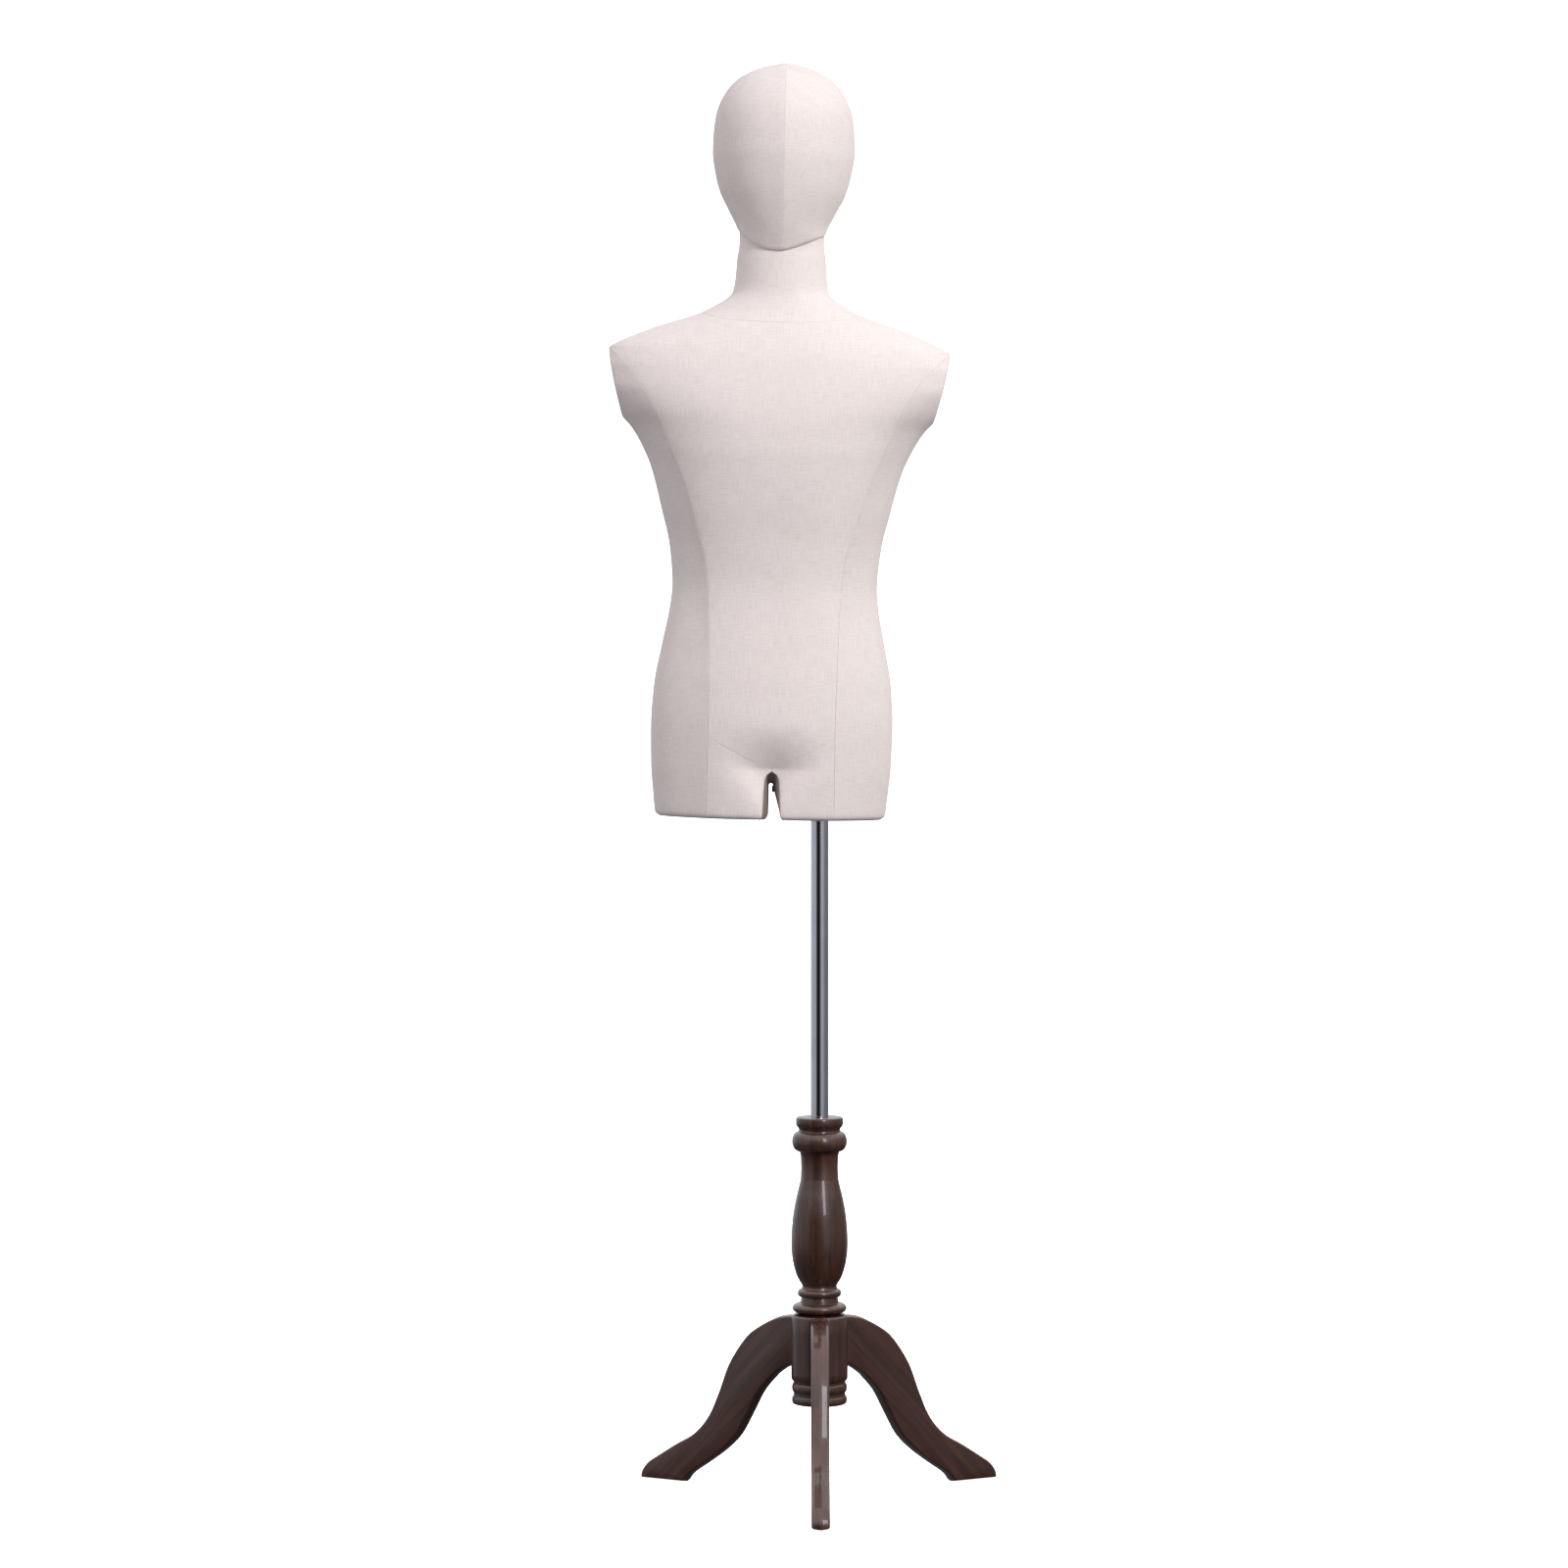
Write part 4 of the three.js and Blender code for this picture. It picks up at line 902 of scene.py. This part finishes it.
def leg_outline():
    """A leg seen from its side, as (distance from the pole's axis, height)."""
    under = spline(
        [(60, 143), (80, 121), (97, 91), (113, 64), (132, 45), (155, 28), (181, 10.5), (190, 0)], 6)
    over = spline([
        (240, 24), (205, 46), (176, 63), (155, 86), (140, 117), (125, 154), (104, 185), (86, 201),
        (56, 216.5), (LEG_BACK_R, 220.5),
    ], 6)
    return (
        [(LEG_BACK_R, 157.8)] + bend((35.8, 157.8), (49, 152), (60, 143), 5) + under
        + [(x, 0.0) for x in np.linspace(198, 246, 9)]
        + bend((253, 0), (255, 12), (240, 24), 6) + over
        + [(LEG_BACK_R, z) for z in np.linspace(212, 166, 7)]
    )


def make_leg(word, degrees):
    outline = np.array(leg_outline())
    ahead, behind = np.roll(outline, -1, 0) - outline, outline - np.roll(outline, 1, 0)
    unit = lambda v: v / np.maximum(np.linalg.norm(v, axis=1, keepdims=True), 1e-9)
    tangent = unit(unit(ahead) + unit(behind))
    inwards = stack(-tangent[:, 1], tangent[:, 0])
    shrink = 1 / np.maximum(0.6, np.sum(unit(ahead) * tangent, axis=1))
    edge = [
        (LEG_CROWN[0] + LEG_EDGE * (1 - math.sin(t)), -LEG_HALF + LEG_ROUND * (1 - math.cos(t)))
        for t in np.linspace(0, math.pi / 2, 8)
    ]
    edge.append((LEG_CROWN[1], -3.2))
    sections = edge + [(0.0, 0.0)] + [(inset, -y) for inset, y in edge[::-1]]
    loops = []
    for inset, y in sections:
        flat = outline + inwards * (inset * shrink)[:, None]
        flat[outline[:, 0] < LEG_BACK_R + 0.3, 0] = LEG_BACK_R
        loops.append(stack(flat[:, 0], y, np.maximum(flat[:, 1], 0)))
    local = np.concatenate(loops)
    c, s = math.cos(math.radians(degrees)), math.sin(math.radians(degrees))
    x, y = local[:, 0] * c - local[:, 1] * s, local[:, 0] * s + local[:, 1] * c
    placed = stack(x * MM + POLE_X, y * MM + POLE_Y, local[:, 2] * MM)
    along = (local[:, 0] - local[:, 2]) / math.sqrt(2)
    across = (local[:, 0] + local[:, 2]) / math.sqrt(2)
    grain = stack(across + 40 * degrees, local[:, 1], along) * MM
    rub = [0.7 * math.exp(-(((abs(y) - LEG_HALF + 3.0) / 2.2) ** 2)) for _, y in sections]
    piece = ring_stack(
        f"sawn_leg_{word}", np.split(placed, len(sections)), in_row=True,
        marks=[("grain", grain), ("wear", np.repeat(rub, len(outline)), "FLOAT")],
    )
    for face in piece.data.polygons:
        if len(face.vertices) > 4:  # the middles of its two sides are flat
            face.use_smooth = False
    piece.data.set_sharp_from_angle(angle=SAWN_SHARP)
    return piece


def make_pole():
    low, high = POLE_FOOT / MM, POLE_TOP / MM
    inside, rim, outside, chamfer = 9.5, 10.6, 11, 0.4
    profile = [(inside, low), (rim, low), (outside, low + chamfer)]
    profile += [(outside, z) for z in np.linspace(low + 20, high - 20, 24)]
    profile += [(outside, high - chamfer), (rim, high), (inside, high)]
    return turned("polished_pole", profile, 72)


SCREW_PITCH = 1.25


def make_clamp_screw():
    """A set screw along X with a chamfered end and a hexagon socket that faces the gap."""
    low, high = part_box("clamp_screw")
    y, z = (low.y + high.y) / 2, (low.z + high.z) / 2
    turns = np.arange(36) / 36 * math.tau
    sixth = math.pi / 6
    hexagon = 2.4 * math.cos(sixth) / np.cos((turns + sixth) % (math.pi / 3) - sixth)
    loops = []

    def loop(radius, x):
        r = radius * MM
        loops.append(stack(x, y + r * np.cos(turns), z + r * np.sin(turns)))

    for radius, depth in ((1.2, 0), (3.2, 0), (4.0, 0.8)):
        loop(radius, high.x - depth * MM)
    x = high.x - 1.2 * MM
    while x > low.x + 2.0 * MM:
        for radius, depth in ((4.0, 0), (3.6, 0.35), (3.6, 0.6), (4.0, 0.95)):
            loop(radius, x - depth * MM)
        x -= SCREW_PITCH * MM
    socket = ((hexagon + 0.25, 0), (hexagon, 0.3), (hexagon, 3.2))
    for radius, depth in ((4.0, 0.9), (3.3, 0), *socket):
        loop(radius, low.x + depth * MM)
    return ring_stack("clamp_set_screw", loops, in_row=True)


wood_pieces = {"column": make_column(), "hub": make_hub()}
for word, degrees in LEG_ANGLES.items():
    wood_pieces[f"leg_{word}"] = make_leg(word, degrees)
pole = make_pole()
screw = make_clamp_screw()


# ---------- materials ----------
class Nodes:
    """A node tree with short ways to add and join nodes."""

    def __init__(self, tree):
        self.tree = tree
        tree.nodes.clear()

    def add(self, kind, **settings):
        node = self.tree.nodes.new(kind)
        for key, value in settings.items():
            setattr(node, key, value)
        return node

    def put(self, node, values):
        for socket, value in values.items():
            if isinstance(value, bpy.types.NodeSocket):
                self.tree.links.new(value, node.inputs[socket])
            else:
                node.inputs[socket].default_value = value
        return node

    def math(self, kind, a, b=0.5):
        return self.put(self.add("ShaderNodeMath", operation=kind), {0: a, 1: b}).outputs[0]

    def remap(self, value, low, high, to_low, to_high):
        node = self.add("ShaderNodeMapRange")
        return self.put(node, {0: value, 1: low, 2: high, 3: to_low, 4: to_high}).outputs[0]

    def ramp(self, value, *stops):
        node = self.add("ShaderNodeValToRGB")
        while len(node.color_ramp.elements) < len(stops):
            node.color_ramp.elements.new(0.5)
        for element, (place, colour) in zip(node.color_ramp.elements, stops):
            element.position = place
            element.color = (*colour, 1)
        return self.put(node, {0: value}).outputs[0]

    def mix(self, share, a, b):
        node = self.add("ShaderNodeMix", data_type="RGBA")
        colour = lambda c: c if isinstance(c, bpy.types.NodeSocket) else (*c, 1)
        return self.put(node, {0: share, 6: colour(a), 7: colour(b)}).outputs[2]


class Shader(Nodes):
    """A material around a principled shader."""

    def __init__(self, name, **values):
        self.material = bpy.data.materials.new(name)
        self.material.use_nodes = True
        super().__init__(self.material.node_tree)
        self.bsdf = self.add("ShaderNodeBsdfPrincipled")
        self.put(self.add("ShaderNodeOutputMaterial"), {0: self.bsdf.outputs[0]})
        self.finish(**values)

    def place(self, kind="Object"):
        return self.add("ShaderNodeTexCoord").outputs[kind]

    def attribute(self, name, output="Vector"):
        return self.add("ShaderNodeAttribute", attribute_name=name).outputs[output]

    def scaled(self, vector, scale):
        node = self.add("ShaderNodeMapping")
        return self.put(node, {"Vector": vector, "Scale": scale}).outputs[0]

    def noise(self, vector, scale, detail=3.0, rough=0.5, twist=0.0):
        values = {"Vector": vector, "Scale": scale, "Detail": detail, "Roughness": rough}
        return self.put(self.add("ShaderNodeTexNoise"), {**values, "Distortion": twist}).outputs[0]

    def wave(self, vector, scale, direction, twist):
        node = self.add("ShaderNodeTexWave", wave_type="BANDS", bands_direction=direction)
        values = {"Vector": vector, "Scale": scale, "Distortion": twist, "Detail": 1.0}
        return self.put(node, values).outputs[1]

    def bump(self, height, strength, distance, under=None):
        values = {"Height": height, "Strength": strength, "Distance": distance}
        if under is not None:
            values["Normal"] = under
        return self.put(self.add("ShaderNodeBump"), values).outputs[0]

    def finish(self, **values):
        """Sets or joins the shader's inputs, and returns the material."""
        self.put(self.bsdf, {socket.replace("_", " "): value for socket, value in values.items()})
        return self.material


def linen(name, tone_scale=(1.0, 1.0, 1.0)):
    """A plain linen weave: fine threads, slubs along both, and a soft uneven tone."""
    s = Shader(name, Sheen_Weight=0.12, Sheen_Roughness=0.6, Specular_IOR_Level=0.25)
    uv = s.place("UV")
    warp, weft = s.wave(uv, 420.0, "X", 0.6), s.wave(uv, 380.0, "Y", 0.6)
    weave = s.math("MULTIPLY", s.math("ADD", warp, weft), 0.5)
    across = s.noise(s.scaled(uv, (55, 950, 1)), 1.0, 4.0, 0.6)
    up = s.noise(s.scaled(uv, (900, 48, 1)), 1.0, 4.0, 0.6)
    slub = s.math("MULTIPLY", s.math("ADD", across, up), 0.5)
    cloud = s.noise(uv, 9.0, 3.0)
    shades = ((0.770, 0.714, 0.694), (0.640, 0.582, 0.562))
    # the scale darkens both shades; for the gap lining it is painted shade, not a darker cloth
    pale, deep = ([c * k for c, k in zip(shade, tone_scale)] for shade in shades)
    thread = s.ramp(slub, (0.32, deep), (0.56, pale))
    thread = s.mix(s.remap(weave, 0.2, 0.9, 0.08, 0.0), thread, (0.36, 0.31, 0.30))
    colour = s.mix(s.remap(cloud, 0.35, 0.7, 0.0, 0.10), thread, [c * 0.86 for c in deep])
    neps = s.remap(s.noise(uv, 420.0, 2.0), 0.69, 0.76, 0.0, 0.35)
    colour = s.mix(neps, colour, (0.42, 0.34, 0.29))
    fine = s.bump(weave, 0.35, 0.00022)
    thick = s.bump(slub, 0.55, 0.00045, fine)
    return s.finish(Base_Color=colour, Normal=thick, Roughness=s.remap(slub, 0.3, 0.7, 0.98, 0.84))


def walnut(name):
    """Dark stained wood under clear lacquer: long grain, pores, and paler rubbed edges."""
    s = Shader(name, Coat_Weight=0.7, Coat_Roughness=0.07, Coat_IOR=1.5, Specular_IOR_Level=0.4)
    grain = s.attribute("grain")
    wear = s.attribute("wear", "Fac")
    rings = s.noise(s.scaled(grain, (110, 110, 5)), 1.0, 4.0, 0.5, 0.6)
    fibre = s.noise(s.scaled(grain, (420, 420, 16)), 1.0, 4.0, 0.6)
    patch = s.noise(s.scaled(grain, (14, 14, 6)), 1.0, 2.0)
    body = s.ramp(
        rings, (0.3, (0.027, 0.0098, 0.0064)), (0.5, (0.052, 0.0188, 0.0108)),
        (0.7, (0.088, 0.0325, 0.0180)),
    )
    body = s.mix(s.remap(fibre, 0.35, 0.7, 0.0, 0.5), body, (0.020, 0.010, 0.0085))
    body = s.mix(s.remap(patch, 0.35, 0.7, 0.0, 0.2), body, (0.050, 0.019, 0.0140))
    chafe = s.remap(s.noise(grain, 130.0, 5.0, 0.65), 0.38, 0.62, 0.0, 0.24)
    chafe = s.math("MULTIPLY", wear, chafe)
    body = s.mix(chafe, body, (0.125, 0.070, 0.052))
    pores = s.remap(s.noise(s.scaled(grain, (700, 700, 22)), 1.0, 2.0), 0.62, 0.72, 0.0, 1.0)
    body = s.mix(s.math("MULTIPLY", pores, 0.6), body, (0.008, 0.004, 0.004))
    relief = s.bump(s.math("SUBTRACT", fibre, pores), 0.28, 0.00018)
    ripple = s.bump(s.noise(grain, 38.0, 2.0), 0.16, 0.0008, relief)
    gloss = s.remap(s.noise(grain, 70.0, 4.0), 0.3, 0.7, 0.30, 0.46)
    rough = s.math("ADD", gloss, s.math("MULTIPLY", wear, 0.08))
    return s.finish(Base_Color=body, Normal=ripple, Roughness=rough)


def metal(name, colour, rough, worn, scale=60.0, brushed=(1, 1, 1), weight=1.0):
    """Bare or painted metal with fine brushing, smudges and small wear."""
    s = Shader(name, Metallic=weight)
    place = s.place()
    smudge = s.noise(place, scale, 4.0, 0.6)
    lines = s.noise(s.scaled(place, brushed), 900.0, 2.0)
    tone = s.mix(s.remap(smudge, 0.45, 0.75, 0.0, 0.6), colour, worn)
    tone = s.mix(s.remap(lines, 0.4, 0.7, 0.0, 0.15), tone, [c * 0.6 for c in colour])
    return s.finish(
        Base_Color=tone, Roughness=s.remap(smudge, 0.3, 0.7, rough * 0.7, rough * 1.5),
        Normal=s.bump(lines, 0.06, 0.00006),
    )


def moulded(name, colour, rough, mark):
    """Moulded or cast plastic with a faint grain and mottling."""
    s = Shader(name, Specular_IOR_Level=0.4)
    place = s.place()
    mottle, fine = s.noise(place, 28.0, 5.0, 0.6), s.noise(place, 520.0, 3.0)
    tone = s.mix(s.remap(mottle, 0.35, 0.7, 0.0, 0.5), colour, mark)
    return s.finish(Base_Color=tone, Roughness=s.remap(fine, 0.3, 0.7, rough * 0.85, rough * 1.1),
                    Normal=s.bump(s.math("ADD", mottle, fine), 0.25, 0.0006))


def plywood(name):
    """Birch plywood: thin level plies and long fibres."""
    s = Shader(name, Specular_IOR_Level=0.3)
    place = s.place()
    plies = s.wave(s.scaled(place, (0, 0, 1)), 105.0, "Z", 0.4)
    fibre = s.noise(s.scaled(place, (30, 520, 520)), 1.0, 4.0)
    tone = s.ramp(fibre, (0.3, (0.42, 0.27, 0.14)), (0.7, (0.62, 0.45, 0.27)))
    tone = s.mix(s.remap(plies, 0.5, 0.9, 0.0, 0.45), tone, (0.26, 0.15, 0.075))
    return s.finish(Base_Color=tone, Roughness=s.remap(fibre, 0.3, 0.7, 0.65, 0.85),
                    Normal=s.bump(fibre, 0.4, 0.0004))


LINEN = linen("linen_weave")
# the same linen darkened to brown-black: painted shade deep in the gap between the thighs
LINING_PAINTED_SHADE = linen("lining_weave_painted_shade", (0.36, 0.30, 0.28))
WALNUT = walnut("stained_walnut")
CHROME = metal(
    "polished_chrome", (0.70, 0.715, 0.745), 0.085, (0.55, 0.56, 0.60), 34.0, (1, 1, 0.05))
STEEL = metal("zinc_steel", (0.52, 0.53, 0.55), 0.34, (0.38, 0.37, 0.36), 90.0, (1, 1, 0.2))
BLACK = metal(
    "black_oxide", (0.020, 0.019, 0.021), 0.36, (0.055, 0.052, 0.05), 420.0, weight=0.85)
RESIN = moulded("cast_shell", (0.66, 0.62, 0.54), 0.75, (0.52, 0.48, 0.41))
NYLON = moulded("white_nylon", (0.78, 0.77, 0.73), 0.45, (0.70, 0.69, 0.64))
PLY = plywood("birch_plywood")


# ---------- what stands for what ----------
def stand_for(node, piece, body, material):
    """Makes a piece the visible form of a node, riding on a body."""
    piece.data.materials.clear()
    piece.data.materials.append(material)
    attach(piece, body)
    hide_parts(node)


for node, piece in cloth_pieces.items():
    body = "head" if node.startswith("head") else "form"
    # the gap lining takes the darkened linen, which paints the gap's shade
    stand_for(node, piece, body, LINING_PAINTED_SHADE if node == "gap_lining" else LINEN)
for node, piece in wood_pieces.items():
    stand_for(node, piece, "stand", WALNUT)
stand_for("pole", pole, "stand", CHROME)
stand_for("clamp_screw", screw, "screw", BLACK)

finishes = {
    "shell": RESIN, "core": RESIN, "board": PLY, "block": PLY, "plate": PLY, "sleeve": NYLON,
    "cap": NYLON, "neck_washer": NYLON, "hub_plug": WALNUT,
}
for name, node in frame["nodes"].items():
    if node.hide_render:
        continue
    finish = next((material for word, material in finishes.items() if word in name), STEEL)
    node.data.materials.clear()
    node.data.materials.append(finish)
plug = frame["nodes"]["hub_plug"]
store(plug, "grain", [v.co for v in plug.data.vertices])
store(plug, "wear", np.zeros(len(plug.data.vertices)), "FLOAT")


# ---------- studio ----------
def make_backdrop():
    """A pale floor that curves up into a wall behind the object."""
    reach, bend_start, radius, height = 16.0, 8.2, 1.8, 9.0
    turns = np.linspace(0.1, math.pi / 2, 16)
    profile = [(-reach, 0.0), (bend_start, 0.0)]
    profile += [(bend_start + radius * math.sin(t), radius - radius * math.cos(t)) for t in turns]
    profile.append((bend_start + radius, height))
    points = [(x, y, z) for y, z in profile for x in (-reach, reach)]
    faces = [[2 * i, 2 * i + 1, 2 * i + 3, 2 * i + 2] for i in range(len(profile) - 1)]
    sweep = new_mesh("studio_sweep", points, faces, in_row=True)
    paper = Shader(
        "studio_paper", Roughness=0.95, Specular_IOR_Level=0.1, Base_Color=(0.93, 0.93, 0.935, 1),
        Emission_Color=(1, 1, 1, 1), Emission_Strength=1.0,
    )
    sweep.data.materials.append(paper.material)
    sweep.visible_glossy = sweep.visible_diffuse = False


def area_light(name, place, target, size, energy, colour=(1, 1, 1), glossy=False):
    data = bpy.data.lights.new(name, "AREA")
    data.shape, data.size, data.size_y = "RECTANGLE", size[0], size[1]
    data.energy, data.color = energy, colour
    light = bpy.data.objects.new(name, data)
    light.location = place
    light.rotation_euler = (Vector(target) - Vector(place)).to_track_quat("-Z", "Y").to_euler()
    light.visible_glossy, light.visible_diffuse = glossy, not glossy
    scene.collection.objects.link(light)


# brightness of the walls in reflections, by degrees round from the front (-Y) toward +X
WALL_BANDS = [
    (-180, 0.80), (-135, 0.90), (-95, 0.58), (-70, 0.60), (-50, 0.55), (-37, 0.14), (-29, 0.015),
    (-8, 0.015), (4, 0.05), (18, 0.42), (36, 0.64), (50, 0.46), (66, 0.30), (120, 0.20),
    (150, 0.34), (180, 0.80),
]


def make_world():
    """A soft white room, with the dark and light bands of a studio's walls in its reflection."""
    world = bpy.data.worlds.new("studio_room")
    scene.world = world
    world.use_nodes = True
    w = Nodes(world.node_tree)
    where = w.add("ShaderNodeTexCoord").outputs["Generated"]
    x, y, z = w.put(w.add("ShaderNodeSeparateXYZ"), {0: where}).outputs
    turn = w.remap(w.math("ARCTAN2", x, w.math("MULTIPLY", y, -1)), -math.pi, math.pi, 0.0, 1.0)
    walls = w.ramp(turn, *(
        (angle / 360 + 0.5, [light * c for c in (0.96, 0.98, 1.04)]) for angle, light in WALL_BANDS
    ))
    bands = w.mix(w.remap(z, 0.15, 0.6, 0.0, 1.0), walls, (1.5, 1.46, 1.48))
    glow = lambda colour, strength: w.put(
        w.add("ShaderNodeBackground"), {0: colour, 1: strength}).outputs[0]
    blend = lambda share, a, b: w.put(
        w.add("ShaderNodeMixShader"), {0: share, 1: a, 2: b}).outputs[0]
    ray = w.add("ShaderNodeLightPath").outputs
    plain = glow((0.995, 0.96, 0.99, 1), w.remap(z, -0.5, 0.5, 0.16, 0.80))
    lit = blend(ray["Is Glossy Ray"], plain, glow(bands, w.remap(z, -0.3, 0.0, 0.15, 1.0)))
    seen = blend(ray["Is Camera Ray"], lit, glow((1, 1, 1, 1), 1.0))
    w.put(w.add("ShaderNodeOutputWorld"), {0: seen})


make_backdrop()
make_world()
chest, column = (0, 0, 1.2), (POLE_X, POLE_Y, 0.35)
area_light("key", (2.5, -3.3, 3.5), chest, (1.2, 1.2), 150, (1.0, 0.985, 0.975))
area_light("side", (3.0, -0.4, 1.9), chest, (1.0, 2.0), 10, (1.0, 0.985, 0.99))
area_light("fill", (-2.9, -2.7, 2.0), chest, (1.4, 1.6), 23, (1.0, 0.955, 1.0))
area_light("glint", (1.3, -3.0, 1.9), column, (0.8, 2.0), 36, (1.0, 0.95, 1.0), glossy=True)
for side, word in ((-1, "left"), (1, "right")):
    area_light(f"wall_{word}", (side * 2.4, 2.2, 3.6), (side * 0.8, 4.8, 1.6), (2.5, 1.0), 75)

CAMERA_AWAY, CAMERA_HEIGHT, CAMERA_TILT = 6.5, 1.12, 2.16
lens = bpy.data.cameras.new("camera")
lens.lens, lens.sensor_width = 121.9, 36
camera = bpy.data.objects.new("camera", lens)
camera.location = (POLE_X - 0.0436, POLE_Y - CAMERA_AWAY, CAMERA_HEIGHT)
camera.rotation_euler = (math.radians(90 - CAMERA_TILT), 0, 0)
scene.collection.objects.link(camera)
scene.camera = camera
scene.view_settings.view_transform = "Standard"
scene.view_settings.look = "None"
